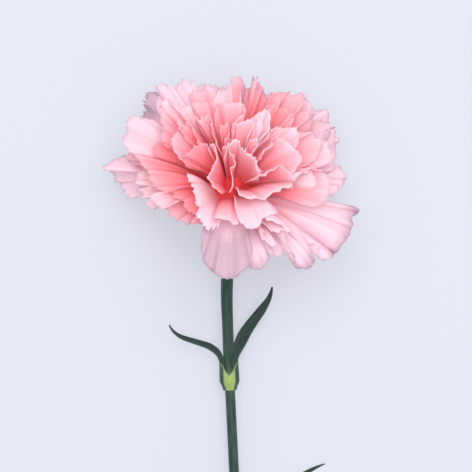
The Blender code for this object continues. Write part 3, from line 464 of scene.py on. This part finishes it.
def arc_lengths(points):
    steps = np.linalg.norm(np.diff(points, axis=0), axis=1)
    return np.concatenate([[0.0], np.cumsum(steps)])


def settle(points, level):
    """Bend what would reach below a level softly back onto it."""
    points[..., 2] = level + TABLE_SOFTNESS * np.logaddexp(
        0.0, (points[..., 2] - level) / TABLE_SOFTNESS)


def teeth(arc, rng, pitch, depth):
    """How far the rim is cut back at each place along it, in millimetres."""
    edges = [0.0]
    while edges[-1] < arc[-1]:
        edges.append(edges[-1] + pitch * rng.uniform(0.5, 1.5))
    edges = np.array(edges)
    depths = np.array([depth * rng.uniform(0.3, 1.0) for _ in edges])
    gashes = np.array([depth * rng.uniform(1.0, 2.2) if rng.random() < GASH_CHANCE else 0.0
                       for _ in edges])
    tooth = np.clip(np.searchsorted(edges, arc, side="right") - 1, 0, len(edges) - 2)
    across = np.abs(2 * (arc - edges[tooth]) / (edges[tooth + 1] - edges[tooth]) - 1)
    return depths[tooth] * across ** 0.8 + gashes[tooth] * across ** 3


def ruffle_waves(arc, rng):
    """Height and sway of a rim's ruffles at each place along it, for a depth of one."""
    turns = 2 * math.pi * arc / RUFFLE_LENGTH
    start, beat, second = (rng.uniform(0, 2 * math.pi) for _ in range(3))
    phase = turns + start + 1.1 * np.sin(turns / 2.7 + beat)
    return np.sin(phase) + 0.35 * np.sin(1.9 * turns + second), np.sin(2 * phase)


def claw_line(rim, side, axis):
    """Where a petal starts: a short line across the ring of claws, on the side of its rim."""
    outward = rim - np.outer(rim @ axis, axis)
    middle = unit(outward.mean(axis=0))
    across = np.cross(axis, middle)
    if (rim[-1] - rim[0]) @ across < 0:
        across = -across
    opening = math.acos(float(unit(rim.mean(axis=0)) @ axis))
    ring = CLAW_RING_RADIUS * min(1.0, opening / WIDEST_OPENING)
    return middle * ring + np.outer(side * CLAW_HALF_WIDTH, across)


def blade(claw, knee, bend, rim, share):
    """Places on a smooth blade at shares of the way from its claw to its rim."""
    weight = share[..., None]
    return ((1 - weight) ** 3 * claw[:, None] + 3 * (1 - weight) ** 2 * weight * knee[:, None]
            + 3 * (1 - weight) * weight ** 2 * bend[:, None] + weight ** 3 * rim[:, None])


def petal_points(petal, index, settings):
    """Middle surface of a petal in metres, places across by places along, and its UV maps."""
    axis = np.array(head_axes()[2])
    length = arc_lengths(smooth_through(petal.rim, np.linspace(0, 1, 200)))[-1]
    columns = max(FEWEST_COLUMNS, round(length / COLUMN_WIDTH))
    side = np.linspace(-1.0, 1.0, columns + 1)
    rim = smooth_through(petal.rim, (side + 1) / 2)
    arc = arc_lengths(rim)
    claw = claw_line(rim, side, axis)
    knee = claw + axis * petal.knee
    bend = knee + (rim - knee) / 2 + axis * petal.arch

    rng = random.Random(1000 + index)
    cut = petal.teeth * teeth(arc, rng, settings.tooth_pitch / MM, settings.tooth_depth / MM)
    limit = 1.0 - CORNER_ROUNDING * np.abs(side) ** 5 - cut / np.linalg.norm(rim - knee, axis=1)
    rows = np.linspace(0.0, 1.0, PETAL_ROWS + 1)
    share = rows[None, :] * limit[:, None]
    points = blade(claw, knee, bend, rim, share)
    out = np.linalg.norm(np.diff(points, axis=1), axis=2).cumsum(axis=1)
    out = np.concatenate([np.zeros((columns + 1, 1)), out], axis=1)

    height, sway = ruffle_waves(arc, random.Random(index))
    frill = np.sin(2 * math.pi * arc / FRILL_LENGTH + 1.3 * np.sin(arc / 3.3 + index)
                   + rng.uniform(0, 2 * math.pi))
    tangent = unit(np.gradient(rim, axis=0))
    facing = unit(np.cross(tangent, rim - bend))
    depth = RUFFLE_DEPTH * petal.ruffle
    lift = (depth * height[:, None] * share ** 2.2 + FRILL_DEPTH * frill[:, None] * share ** 6)
    points += facing[:, None] * lift[..., None]
    points += tangent[:, None] * (RUFFLE_SWAY * depth * sway[:, None] * share ** 3)[..., None]
    world = np.array(MOUTH) + points * MM
    settle(world, TABLE_LEVEL + TABLE_LAYER * min((index + 1) // 2, TABLE_LAYERS))
    tissue = np.stack([np.broadcast_to(arc[:, None], out.shape), out], axis=-1) / TISSUE_SCALE
    edge = np.stack([np.full(out.shape, petal.pale),
                     np.broadcast_to(rows[None, :], out.shape)], axis=-1)
    return world, {"Tissue": tissue, "Edge": edge}


def deselect_all():
    bpy.ops.object.select_all(action="DESELECT")


def grid_piece(name, points, maps, material, thickness, closed=False):
    """A grid laid on the points as one finished piece, its seam and poles merged if closed."""
    deselect_all()
    columns, rows = points.shape[0] - 1, points.shape[1] - 1
    bpy.ops.mesh.primitive_grid_add(x_subdivisions=columns, y_subdivisions=rows, size=2.0,
                                    location=(0, 0, 0), calc_uvs=False)
    piece = bpy.context.object
    piece.name = name
    piece.data.name = name
    mesh = piece.data
    flat = np.empty(len(mesh.vertices) * 3)
    mesh.vertices.foreach_get("co", flat)
    flat = flat.reshape(-1, 3)
    column = np.rint((flat[:, 0] + 1) / 2 * columns).astype(int)
    row = np.rint((flat[:, 1] + 1) / 2 * rows).astype(int)
    mesh.vertices.foreach_set("co", points[column, row].ravel())
    corners = np.empty(len(mesh.loops), dtype=int)
    mesh.loops.foreach_get("vertex_index", corners)
    for label, values in maps.items():
        layer = mesh.uv_layers.new(name=label)
        layer.data.foreach_set("uv", values[column[corners], row[corners]].ravel())
    mesh.polygons.foreach_set("use_smooth", [True] * len(mesh.polygons))
    mesh.materials.append(material)
    if closed:
        bpy.ops.object.mode_set(mode="EDIT")
        bpy.ops.mesh.select_all(action="SELECT")
        bpy.ops.mesh.remove_doubles(threshold=1e-6)
        bpy.ops.object.mode_set(mode="OBJECT")
    mesh.update()
    if thickness:
        wall = piece.modifiers.new("Wall", "SOLIDIFY")
        wall.thickness = thickness
        wall.offset = 0.0
        bpy.ops.object.modifier_apply(modifier=wall.name)
    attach(piece, "root")
    return piece


def new_material(name):
    """A material with its tree, its Principled shader and its output."""
    material = bpy.data.materials.new(name)
    material.use_nodes = True
    tree = material.node_tree
    return material, tree, tree.nodes["Principled BSDF"], tree.nodes["Material Output"]


def add_ramp(tree, source, stops):
    ramp = tree.nodes.new("ShaderNodeValToRGB")
    while len(ramp.color_ramp.elements) < len(stops):
        ramp.color_ramp.elements.new(0.5)
    for element, (place, colour) in zip(ramp.color_ramp.elements, stops):
        element.position = place
        element.color = (*colour, 1.0)
    tree.links.new(source, ramp.inputs["Fac"])
    return ramp.outputs["Color"]


def add_bump(tree, shader, height, strength, distance):
    """Relief of a surface, from a height."""
    bump = tree.nodes.new("ShaderNodeBump")
    bump.inputs["Strength"].default_value = strength
    bump.inputs["Distance"].default_value = distance
    tree.links.new(height, bump.inputs["Height"])
    tree.links.new(bump.outputs["Normal"], shader.inputs["Normal"])


def blend(first, second, share):
    return tuple(a + (b - a) * share for a, b in zip(first, second))


def mapped(tree, layer):
    """A UV map, and its two values."""
    uv = tree.nodes.new("ShaderNodeUVMap")
    uv.uv_map = layer
    split = tree.nodes.new("ShaderNodeSeparateXYZ")
    tree.links.new(uv.outputs["UV"], split.inputs["Vector"])
    return uv.outputs["UV"], split.outputs["X"], split.outputs["Y"]


def noise(tree, vector, stretch, detail=3.0):
    stretched = tree.nodes.new("ShaderNodeMapping")
    stretched.inputs["Scale"].default_value = stretch
    tree.links.new(vector, stretched.inputs["Vector"])
    texture = tree.nodes.new("ShaderNodeTexNoise")
    texture.inputs["Scale"].default_value = 1.0
    texture.inputs["Detail"].default_value = detail
    tree.links.new(stretched.outputs["Vector"], texture.inputs["Vector"])
    return texture.outputs["Fac"]


def calculate(tree, operation, *values):
    """A Math node on sockets and numbers."""
    node = tree.nodes.new("ShaderNodeMath")
    node.operation = operation
    for socket, value in zip(node.inputs, values):
        if isinstance(value, bpy.types.NodeSocket):
            tree.links.new(value, socket)
        else:
            socket.default_value = value
    return node.outputs["Value"]


def petal_material(stops):
    """Petal tissue: deep at its foot, pale at its rim, greyish mauve painted shade where its paleness
    runs highest, finely streaked, lit through.
    """
    material, tree, shader, output = new_material("petal")
    tissue, _, out = mapped(tree, "Tissue")
    _, pale, share = mapped(tree, "Edge")
    streaks = noise(tree, tissue, PETAL_STREAKS)
    clouds = noise(tree, tissue, PETAL_CLOUDS, 2.0)
    rim = calculate(tree, "POWER", share, RIM_NARROWNESS)
    place = calculate(tree, "ADD", pale, FOOT_DEEPNESS)
    for value, gain in ((share, SHARE_PALENESS), (out, LENGTH_PALENESS),
                        (streaks, STREAK_PALENESS), (clouds, CLOUD_PALENESS),
                        (rim, RIM_PALENESS)):
        place = calculate(tree, "MULTIPLY_ADD", value, gain, place)
    colour = add_ramp(tree, calculate(tree, "MULTIPLY", place, PALENESS_RANGE), stops)
    links = tree.links
    links.new(colour, shader.inputs["Base Color"])
    shader.inputs["Roughness"].default_value = 0.55
    add_bump(tree, shader, streaks, 0.25, 0.3 * MM)
    through = tree.nodes.new("ShaderNodeBsdfTranslucent")
    links.new(colour, through.inputs["Color"])
    mixed = tree.nodes.new("ShaderNodeMixShader")
    mixed.inputs["Fac"].default_value = LIGHT_THROUGH
    links.new(shader.outputs["BSDF"], mixed.inputs[1])
    links.new(through.outputs["BSDF"], mixed.inputs[2])
    links.new(mixed.outputs["Shader"], output.inputs["Surface"])
    return material


class CARNATION_OT_petals(bpy.types.Operator):
    """Model the petals of the bloom"""
    bl_idname = "carnation.petals"
    bl_label = "Petals"

    def execute(self, context):
        settings = context.scene.carnation_petals
        throat, coral, pink, pale, painted_shade = (tuple(colour) for colour in (
            settings.throat, settings.coral, settings.pink, settings.pale, settings.painted_shade))
        # The last stop is painted shade: petals whose paleness runs past the pale stops turn greyish
        # mauve as if in shade
        stops = ((0.05, throat), (0.22, coral), (0.43, pink), (0.57, blend(pink, pale, 0.55)),
                 (0.70, pale), (0.92, pale), (1.0, painted_shade))
        finish = petal_material(stops)
        for index, petal in enumerate(PETALS):
            points, maps = petal_points(petal, index, settings)
            piece = grid_piece("petal_%02d" % (index + 1), points, maps,
                               finish, settings.thickness)
            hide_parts("bloom")
        return {"FINISHED"}


def waxy_bloom():
    """Shared effect: grey wax lying on green skin in streaks and patches."""
    group = bpy.data.node_groups.new("waxy_bloom", "ShaderNodeTree")
    for label, kind in (("Skin", "NodeSocketVector"), ("Green", "NodeSocketColor"),
                        ("Wax", "NodeSocketColor"), ("Amount", "NodeSocketFloat")):
        group.interface.new_socket(label, in_out="INPUT", socket_type=kind)
    group.interface.new_socket("Colour", in_out="OUTPUT", socket_type="NodeSocketColor")
    group.interface.new_socket("Height", in_out="OUTPUT", socket_type="NodeSocketFloat")
    entry = group.nodes.new("NodeGroupInput").outputs
    leave = group.nodes.new("NodeGroupOutput").inputs
    streaks = noise(group, entry["Skin"], WAX_STREAKS)
    patches = noise(group, entry["Skin"], WAX_PATCHES, 4.0)
    both = calculate(group, "MULTIPLY", streaks, patches)
    mask = calculate(group, "MULTIPLY_ADD", both, WAX_CONTRAST, WAX_START)
    mask = calculate(group, "MULTIPLY", mask, entry["Amount"])
    shade = group.nodes.new("ShaderNodeMix")
    shade.data_type = "RGBA"
    shade.clamp_factor = True
    group.links.new(mask, shade.inputs["Factor"])
    group.links.new(entry["Green"], shade.inputs[6])
    group.links.new(entry["Wax"], shade.inputs[7])
    group.links.new(shade.outputs[2], leave["Colour"])
    group.links.new(streaks, leave["Height"])
    return group


def skin_material(name, stops, wax, amount, roughness, relief):
    """Waxy skin, whose stops run over the second value of the Marks map."""
    material, tree, shader, _ = new_material(name)
    skin, _, _ = mapped(tree, "Skin")
    _, _, mark = mapped(tree, "Marks")
    effect = tree.nodes.new("ShaderNodeGroup")
    effect.node_tree = bpy.data.node_groups.get("waxy_bloom") or waxy_bloom()
    tree.links.new(skin, effect.inputs["Skin"])
    tree.links.new(add_ramp(tree, mark, stops), effect.inputs["Green"])
    effect.inputs["Wax"].default_value = (*wax, 1.0)
    effect.inputs["Amount"].default_value = amount
    tree.links.new(effect.outputs["Colour"], shader.inputs["Base Color"])
    shader.inputs["Roughness"].default_value = roughness
    shader.inputs["Specular IOR Level"].default_value = SKIN_GLOSS
    shader.inputs["Sheen Weight"].default_value = SKIN_SHEEN
    add_bump(tree, shader, effect.outputs["Height"], relief, 0.2 * MM)
    return material


def skin_maps(skin, marks):
    """UV maps of a piece with waxy skin: one for its texture, one for its colour."""
    return {"Skin": np.stack(np.broadcast_arrays(*skin), axis=-1),
            "Marks": np.stack([np.zeros_like(marks), marks], axis=-1)}


def turned_piece(name, radii, heights, material, wall):
    """A turned piece on the head from grids of radii and heights: around by up."""
    right, back, axis = (np.array(v) for v in head_axes())
    turns = np.linspace(0.0, 2 * math.pi, radii.shape[0])[:, None]
    points = (np.array(MOUTH) + (radii * np.cos(turns))[..., None] * right
              + (radii * np.sin(turns))[..., None] * back + heights[..., None] * axis)
    marks = np.linspace(0.0, 1.0, radii.shape[1]) * np.ones_like(radii)
    maps = skin_maps((turns * radii / SKIN_SCALE, heights / SKIN_SCALE), marks)
    return grid_piece(name, points, maps, material, wall, closed=True)


def walk_stem(foot_rise):
    """Points and directions down the stem for a slope of its lying part."""
    _, _, axis = head_axes()
    point = MOUTH - axis * (CALYX_LENGTH + CLEARANCE)
    path = []
    gone = 0.0
    while point.y > STEM_END_Y:
        bent = float(smoothstep(gone / STEM_BEND))
        at_node = [float(smoothstep((node - point.y) / NODE_HALF_LENGTH + 0.5))
                   for node in (UPPER_NODE_Y, LOWER_NODE_Y)]
        lying = (STEM_LEANS[0] + (STEM_LEANS[1] - STEM_LEANS[0]) * at_node[0]
                 + (STEM_LEANS[2] - STEM_LEANS[1]) * at_node[1])
        rise = HEAD_RISE + (foot_rise - HEAD_RISE) * bent
        lean = HEAD_LEAN * (1 - bent) - lying * bent
        step = Vector((-math.sin(lean) * math.cos(rise), -math.cos(lean) * math.cos(rise),
                       -math.sin(rise)))
        path.append((point.copy(), step))
        point = point + step * PATH_STEP
        gone += PATH_STEP
    return path


def stem_path():
    """The stem's path whose cut end lies on the table."""
    low, high = 0.0, STEEPEST_FALL
    for _ in range(24):
        middle = (low + high) / 2
        if walk_stem(middle)[-1][0].z > STEM_END_HEIGHT:
            low = middle
        else:
            high = middle
    return walk_stem(low)


def stem_radius(y):
    top = MOUTH.y - CALYX_LENGTH
    places = (UPPER_NODE_Y - NODE_HALF_LENGTH, UPPER_NODE_Y + NODE_HALF_LENGTH,
              top - STEM_BEND, top)
    radius = float(np.interp(y, places, (STEM_FOOT_RADIUS, STEM_RADIUS, STEM_RADIUS,
                                         STEM_TOP_RADIUS)))
    for node in (UPPER_NODE_Y, LOWER_NODE_Y):
        radius += NODE_BULGE * math.exp(-((y - node) / NODE_SPREAD) ** 2)
    return radius


def node_glow(y):
    """How close a place on the stem is to a swollen joint, from 0 to 1."""
    return max(math.exp(-((y - node) / NODE_GLOW_SPREAD) ** 2)
               for node in (UPPER_NODE_Y, LOWER_NODE_Y))


def stem_ring(point, step, cut_at, normal):
    """One ring of the stem, whose points past the slanted cut are drawn back onto it."""
    right = step.cross(Vector((0, 0, 1))).normalized()
    up = right.cross(step).normalized()
    radius = stem_radius(point.y)
    ring = []
    for turn in np.linspace(0.0, 2 * math.pi, STEM_COLUMNS + 1):
        place = point + (right * math.cos(turn) + up * math.sin(turn)) * radius
        past = (place - cut_at).dot(normal)
        if past > 0:
            place = place - step * (past / step.dot(normal))
        ring.append(place)
    return ring


def stem_rings(path):
    """Rings of points down the stem, ending in the slanted cut, and their marks."""
    end, direction = path[-1]
    normal = direction.copy()
    normal.rotate(Matrix.Rotation(CUT_SLANT, 3, Vector((1, 0, 0))))
    cut_at = end - direction * (STEM_FOOT_RADIUS * math.tan(CUT_SLANT) + CUT_MARGIN)
    rings = [stem_ring(point, step, cut_at, normal) for point, step in path]
    marks = [0.5 * node_glow(point.y) for point, _ in path]
    along = [index * PATH_STEP for index in range(len(path))]
    last = rings[-1]
    for share in CUT_RINGS:
        rings.append([cut_at + (place - cut_at) * share for place in last])
        marks.append(0.75 + 0.25 * (1 - share))
        along.append(along[-1] + 0.5 * MM)
    top = path[0][0]
    for share in TOP_RINGS:
        rings.insert(0, [top + (place - top) * share for place in rings[0]])
        marks.insert(0, 0.0)
        along.insert(0, 0.0)
    points = np.array([[tuple(place) for place in ring] for ring in rings])
    points[..., 2] = np.maximum(points[..., 2], 0.0)
    return points.transpose(1, 0, 2), np.array(marks), np.array(along)


class CARNATION_OT_heart(bpy.types.Operator):
    """Model the heart that the innermost petals stand out of"""
    bl_idname = "carnation.heart"
    bl_label = "Heart"

    def execute(self, context):
        settings = context.scene.carnation_petals
        place = np.linspace(0.0, len(HEART_HEIGHTS) - 1, HEART_ROWS + 1)
        heights = np.interp(place, range(len(HEART_HEIGHTS)), HEART_HEIGHTS) * MM
        radii = np.interp(place, range(len(HEART_RADII)), HEART_RADII) * MM
        around = np.ones((HEART_COLUMNS + 1, 1))
        # Painted shade: from its shoulder up the heart darkens to a blackened red, so that its top reads
        # as the shaded gap between the innermost petals
        black = (0, 0, 0)
        stops = ((0.0, tuple(settings.pale)), (0.35, tuple(settings.pale)),
                 (0.55, blend(settings.throat, black, 0.15)),
                 (1.0, blend(settings.throat, black, 0.4)))
        finish = skin_material("heart", stops, tuple(settings.coral), 0.3, 0.6, 0.3)
        piece = turned_piece("heart", radii * around, heights * around, finish, 0.0)
        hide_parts("bloom")
        return {"FINISHED"}


class CARNATION_OT_calyx(bpy.types.Operator):
    """Model the calyx and its bracts"""
    bl_idname = "carnation.calyx"
    bl_label = "Calyx and bracts"

    def execute(self, context):
        greens = context.scene.carnation_green
        green, wax = tuple(greens.calyx), tuple(greens.bloom)
        pale = blend(green, greens.calyx_rim, 0.7)
        stops = ((0.0, blend(green, pale, 0.5)), (0.3, green), (0.9, green), (1.0, pale))
        finish = skin_material("calyx", stops, wax, 0.5, 0.5, 0.35)
        piece = turned_piece("calyx_tube", *self.tube(), finish, CALYX_WALL)
        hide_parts("calyx")

        finish = skin_material("bract", stops, wax, 0.6, 0.55, 0.35)
        piece = turned_piece("bracts", *self.bracts(), finish, BRACT_WALL)
        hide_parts("epicalyx")
        return {"FINISHED"}

    @staticmethod
    def lobed_rim(lobes, tip, valley, roundness):
        """Height of a rim that rises to a tip in each lobe, for each column around."""
        turns = np.linspace(0.0, 2 * math.pi, CALYX_COLUMNS + 1)
        from_tip = np.abs(2 * np.mod(turns / (2 * math.pi) * lobes, 1.0) - 1)
        return (tip + (valley - tip) * from_tip ** roundness)[:, None]

    def tube(self):
        """Radii and heights of the calyx, from its closed foot to its teeth."""
        rim = self.lobed_rim(CALYX_TEETH, 0.0, -CALYX_TOOTH_HEIGHT, CALYX_TOOTH_ROUNDNESS)
        low = np.linspace(-CALYX_LENGTH, CALYX_TOOTH_FOOT, CALYX_ROWS + 1)[:-1]
        low = low * np.ones((CALYX_COLUMNS + 1, 1))
        high = CALYX_TOOTH_FOOT + (rim - CALYX_TOOTH_FOOT) * np.linspace(0, 1, CALYX_ROWS + 1)
        heights = np.concatenate([low[:, :1], low, high], axis=1)
        radii = np.interp(heights, CALYX_HEIGHTS, CALYX_RADII) - CALYX_WALL / 2
        radii[:, 0] = 0.0
        return radii, heights

    def bracts(self):
        """Radii and heights of the bracts, from their cup round the stem to their tips."""
        rim = self.lobed_rim(BRACTS, BRACT_TIP, BRACT_VALLEY, BRACT_ROUNDNESS)
        ring = STEM_TOP_RADIUS + CLEARANCE + 0.35 * MM
        cup_radii = (ring, ring + BRACT_CUP_WIDENING, CALYX_RADII[0] + 1.0 * MM,
                     CALYX_RADII[1] + BRACT_AWAY)
        around = np.ones((CALYX_COLUMNS + 1, 1))
        place = np.linspace(0, 3, BRACT_CUP_ROWS + 1)
        low = np.interp(place, range(4), BRACT_CUP_HEIGHTS) * around
        inner = np.interp(place, range(4), cup_radii) * around
        high = BRACT_LOBE_FOOT + (rim - BRACT_LOBE_FOOT) * np.linspace(0, 1, BRACT_ROWS + 1)
        outer = np.interp(high, CALYX_HEIGHTS, CALYX_RADII) + BRACT_AWAY
        return np.concatenate([inner, outer], axis=1), np.concatenate([low, high], axis=1)


class CARNATION_OT_stem(bpy.types.Operator):
    """Model the stem with its swollen joints and its slanted cut"""
    bl_idname = "carnation.stem"
    bl_label = "Stem"

    def execute(self, context):
        greens = context.scene.carnation_green
        points, marks, along = stem_rings(stem_path())
        turns = np.linspace(0.0, 2 * math.pi, STEM_COLUMNS + 1)[:, None]
        maps = skin_maps((turns * STEM_RADIUS / SKIN_SCALE, along / SKIN_SCALE),
                         marks * np.ones_like(turns))
        green, joint, cut = tuple(greens.stem), tuple(greens.joint), tuple(greens.cut)
        stops = ((0.0, green), (0.2, blend(green, joint, 0.15)), (0.5, joint), (0.74, green),
                 (0.76, cut), (1.0, blend(cut, (0.75, 0.75, 0.6), 0.5)))
        finish = skin_material("stem", stops, tuple(greens.bloom), 0.55, 0.42, 0.3)
        piece = grid_piece("stem_tube", points, maps, finish, 0.0, closed=True)
        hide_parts("stem")
        return {"FINISHED"}


def leaf_grid(leaf, foot, direction, clasp):
    """Middle surface of a blade that clasps the stem and opens into a shallow channel."""
    right = direction.cross(Vector((0, 0, 1))).normalized()
    up = right.cross(direction).normalized()
    around = math.radians(leaf.around)
    outward = right * math.cos(around) + up * math.sin(around)
    sideways = direction.cross(outward)
    centre = foot + outward * clasp
    rings = []
    for station in range(LEAF_ROWS + 1):
        share = station / LEAF_ROWS
        heading = math.radians(float(np.interp(share * (len(leaf.headings) - 1),
                                               range(len(leaf.headings)), leaf.headings)))
        ahead = direction * math.cos(heading) + outward * math.sin(heading)
        inward = direction * math.sin(heading) - outward * math.cos(heading)
        twist = math.radians(leaf.twist) * float(smoothstep((share - 0.10) / 0.30))
        wide = sideways * math.cos(twist) + inward * math.sin(twist)
        deep = inward * math.cos(twist) - sideways * math.sin(twist)
        open_up = float(smoothstep((share - 0.08) / 0.25))
        half_width = leaf.width * MM / 2 * float(np.interp(share, *zip(*LEAF_OUTLINE)))
        half_angle = math.radians(
            LEAF_FOOT_ANGLE + (LEAF_BLADE_ANGLE - LEAF_FOOT_ANGLE) * open_up)
        curve_radius = clasp + (half_width / math.sin(half_angle) - clasp) * open_up
        angles = half_angle * np.linspace(-1.0, 1.0, LEAF_COLUMNS + 1)
        rings.append(np.array(centre) + np.outer(curve_radius * np.sin(angles), np.array(wide))
                     + np.outer(curve_radius * (1 - np.cos(angles)), np.array(deep)))
        centre = centre + ahead * (leaf.length * MM / LEAF_ROWS)
    points = np.array(rings).transpose(1, 0, 2)
    settle(points, LEAF_LEVEL)
    return points


def leaf_maps(leaf):
    """UV maps of a blade: pale margins at its foot, and its texture along it."""
    side = np.linspace(-1.0, 1.0, LEAF_COLUMNS + 1)[:, None]
    along = np.linspace(0.0, 1.0, LEAF_ROWS + 1)[None, :]
    marks = 0.75 * np.abs(side) ** 8 * smoothstep(1 - along / LEAF_PALE_FOOT)
    return skin_maps((side * 0.5, along * leaf.length / 10), marks)


class CARNATION_OT_leaves(bpy.types.Operator):
    """Model the two pairs of leaves and the sheaths that join them"""
    bl_idname = "carnation.leaves"
    bl_label = "Leaves"

    def execute(self, context):
        greens = context.scene.carnation_green
        green = tuple(greens.leaf)
        stops = ((0.0, green), (0.35, blend(green, (0.03, 0.07, 0.015), 0.8)),
                 (0.7, tuple(greens.leaf_margin)), (1.0, tuple(greens.sheath)))
        finish = skin_material("leaf", stops, tuple(greens.bloom), 0.4, 0.5, 0.45)
        path = stem_path()
        for name, leaves, node_y in (("leaf_pair_upper", UPPER_LEAVES, UPPER_NODE_Y),
                                     ("leaf_pair_lower", LOWER_LEAVES, LOWER_NODE_Y)):
            point, step = min(path, key=lambda place: abs(place[0].y - node_y))
            direction = -step
            clasp = stem_radius(node_y) + CLEARANCE
            for index, leaf in enumerate(leaves):
                points = leaf_grid(leaf, point + direction * LEAF_FOOT, direction, clasp)
                piece = grid_piece("%s_blade_%d" % (name, index + 1), points, leaf_maps(leaf),
                                   finish, LEAF_THICKNESS)
                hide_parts(name)
            self.sheath(name, point, direction, clasp + SHEATH_AWAY, finish)
        return {"FINISHED"}

    def sheath(self, name, point, direction, radius, finish):
        """The cup round the stem that joins the feet of a pair, low between the blades."""
        right = np.array(direction.cross(Vector((0, 0, 1))).normalized())
        up = np.cross(right, np.array(direction))
        turns = np.linspace(0.0, 2 * math.pi, SHEATH_COLUMNS + 1)[:, None]
        share = np.linspace(0.0, 1.0, SHEATH_ROWS + 1)[None, :]
        beside = np.abs(np.cos(turns))
        top = SHEATH_FRONT + (SHEATH_SIDE - SHEATH_FRONT) * beside ** 1.2
        along = SHEATH_FOOT + (top - SHEATH_FOOT) * share
        ring = np.cos(turns)[..., None] * right + np.sin(turns)[..., None] * up
        narrow = (SHEATH_FOOT_NARROWING * (1 - smoothstep((along - SHEATH_FOOT) / SHEATH_TAPER))
                  + SHEATH_TOP_NARROWING * smoothstep(along / SHEATH_SIDE))
        points = (np.array(point) + (radius * (1 - narrow))[..., None] * ring
                  + along[..., None] * np.array(direction))
        between = smoothstep((0.86 - beside) / 0.5)
        rim = smoothstep((along - top) / SHEATH_RIM + 1) * smoothstep((0.99 - beside) / 0.1)
        marks = np.maximum(between * (1 - 0.5 * rim), 0.72 * rim)
        maps = skin_maps((turns * 0.3, along / SKIN_SCALE), marks)
        piece = grid_piece(name + "_sheath", points, maps, finish, LEAF_THICKNESS, closed=True)
        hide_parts(name)


class CARNATION_OT_stage(bpy.types.Operator):
    """Lay the floor and set the lights and the camera"""
    bl_idname = "carnation.stage"
    bl_label = "Stage"

    def execute(self, context):
        settings = context.scene.carnation_stage
        deselect_all()
        bpy.ops.mesh.primitive_plane_add(size=6.0, location=(0, 0, 0))
        floor = context.object
        floor.name = "floor"
        material, _, shader, _ = new_material("floor")
        shader.inputs["Base Color"].default_value = (*settings.floor, 1.0)
        shader.inputs["Roughness"].default_value = 0.9
        shader.inputs["Specular IOR Level"].default_value = 0.1
        shader.inputs["Emission Color"].default_value = (*settings.floor, 1.0)
        shader.inputs["Emission Strength"].default_value = settings.floor_glow
        floor.data.materials.append(material)

        world = bpy.data.worlds.new("soft_room")
        context.scene.world = world
        world.use_nodes = True
        air = world.node_tree.nodes["Background"]
        air.inputs["Color"].default_value = (0.96, 0.97, 1.0, 1.0)
        air.inputs["Strength"].default_value = settings.room_light

        light = bpy.data.lights.new("window", "AREA")
        light.size = settings.light_size
        light.energy = settings.light_power
        lamp = bpy.data.objects.new("window", light)
        lamp.location = LIGHT_PLACE
        lamp.rotation_euler = Vector(LIGHT_PLACE).to_track_quat("Z", "Y").to_euler()
        context.scene.collection.objects.link(lamp)

        camera = bpy.data.cameras.new("camera")
        camera.lens = settings.lens
        height = settings.view_width / 2 / (camera.sensor_width / 2 / settings.lens)
        watcher = bpy.data.objects.new("camera", camera)
        watcher.location = MOUTH + Vector((CAMERA_ACROSS, CAMERA_ALONG, height))
        context.scene.collection.objects.link(watcher)
        context.scene.camera = watcher
        context.scene.view_settings.view_transform = "Standard"
        return {"FINISHED"}


class CARNATION_PT_panel(bpy.types.Panel):
    """Sidebar panel that lists the steps."""
    bl_label = "Cut carnation"
    bl_idname = "CARNATION_PT_panel"
    bl_space_type = "VIEW_3D"
    bl_region_type = "UI"
    bl_category = "Carnation"

    def draw(self, context):
        for step in STEPS:
            self.layout.operator(step)


STEPS = ("carnation.petals", "carnation.heart", "carnation.calyx", "carnation.stem",
         "carnation.leaves", "carnation.stage")
CLASSES = (PetalSettings, GreenSettings, StageSettings, CARNATION_OT_petals,
           CARNATION_OT_heart, CARNATION_OT_calyx, CARNATION_OT_stem, CARNATION_OT_leaves,
           CARNATION_OT_stage, CARNATION_PT_panel)


def register():
    for cls in CLASSES:
        bpy.utils.register_class(cls)
    bpy.types.Scene.carnation_petals = bpy.props.PointerProperty(type=PetalSettings)
    bpy.types.Scene.carnation_green = bpy.props.PointerProperty(type=GreenSettings)
    bpy.types.Scene.carnation_stage = bpy.props.PointerProperty(type=StageSettings)


def unregister():
    del bpy.types.Scene.carnation_stage
    del bpy.types.Scene.carnation_green
    del bpy.types.Scene.carnation_petals
    for cls in reversed(CLASSES):
        bpy.utils.unregister_class(cls)


def main():
    register()
    bpy.ops.carnation.petals()
    bpy.ops.carnation.heart()
    bpy.ops.carnation.calyx()
    bpy.ops.carnation.stem()
    bpy.ops.carnation.leaves()
    bpy.ops.carnation.stage()


if __name__ == "__main__":
    main()
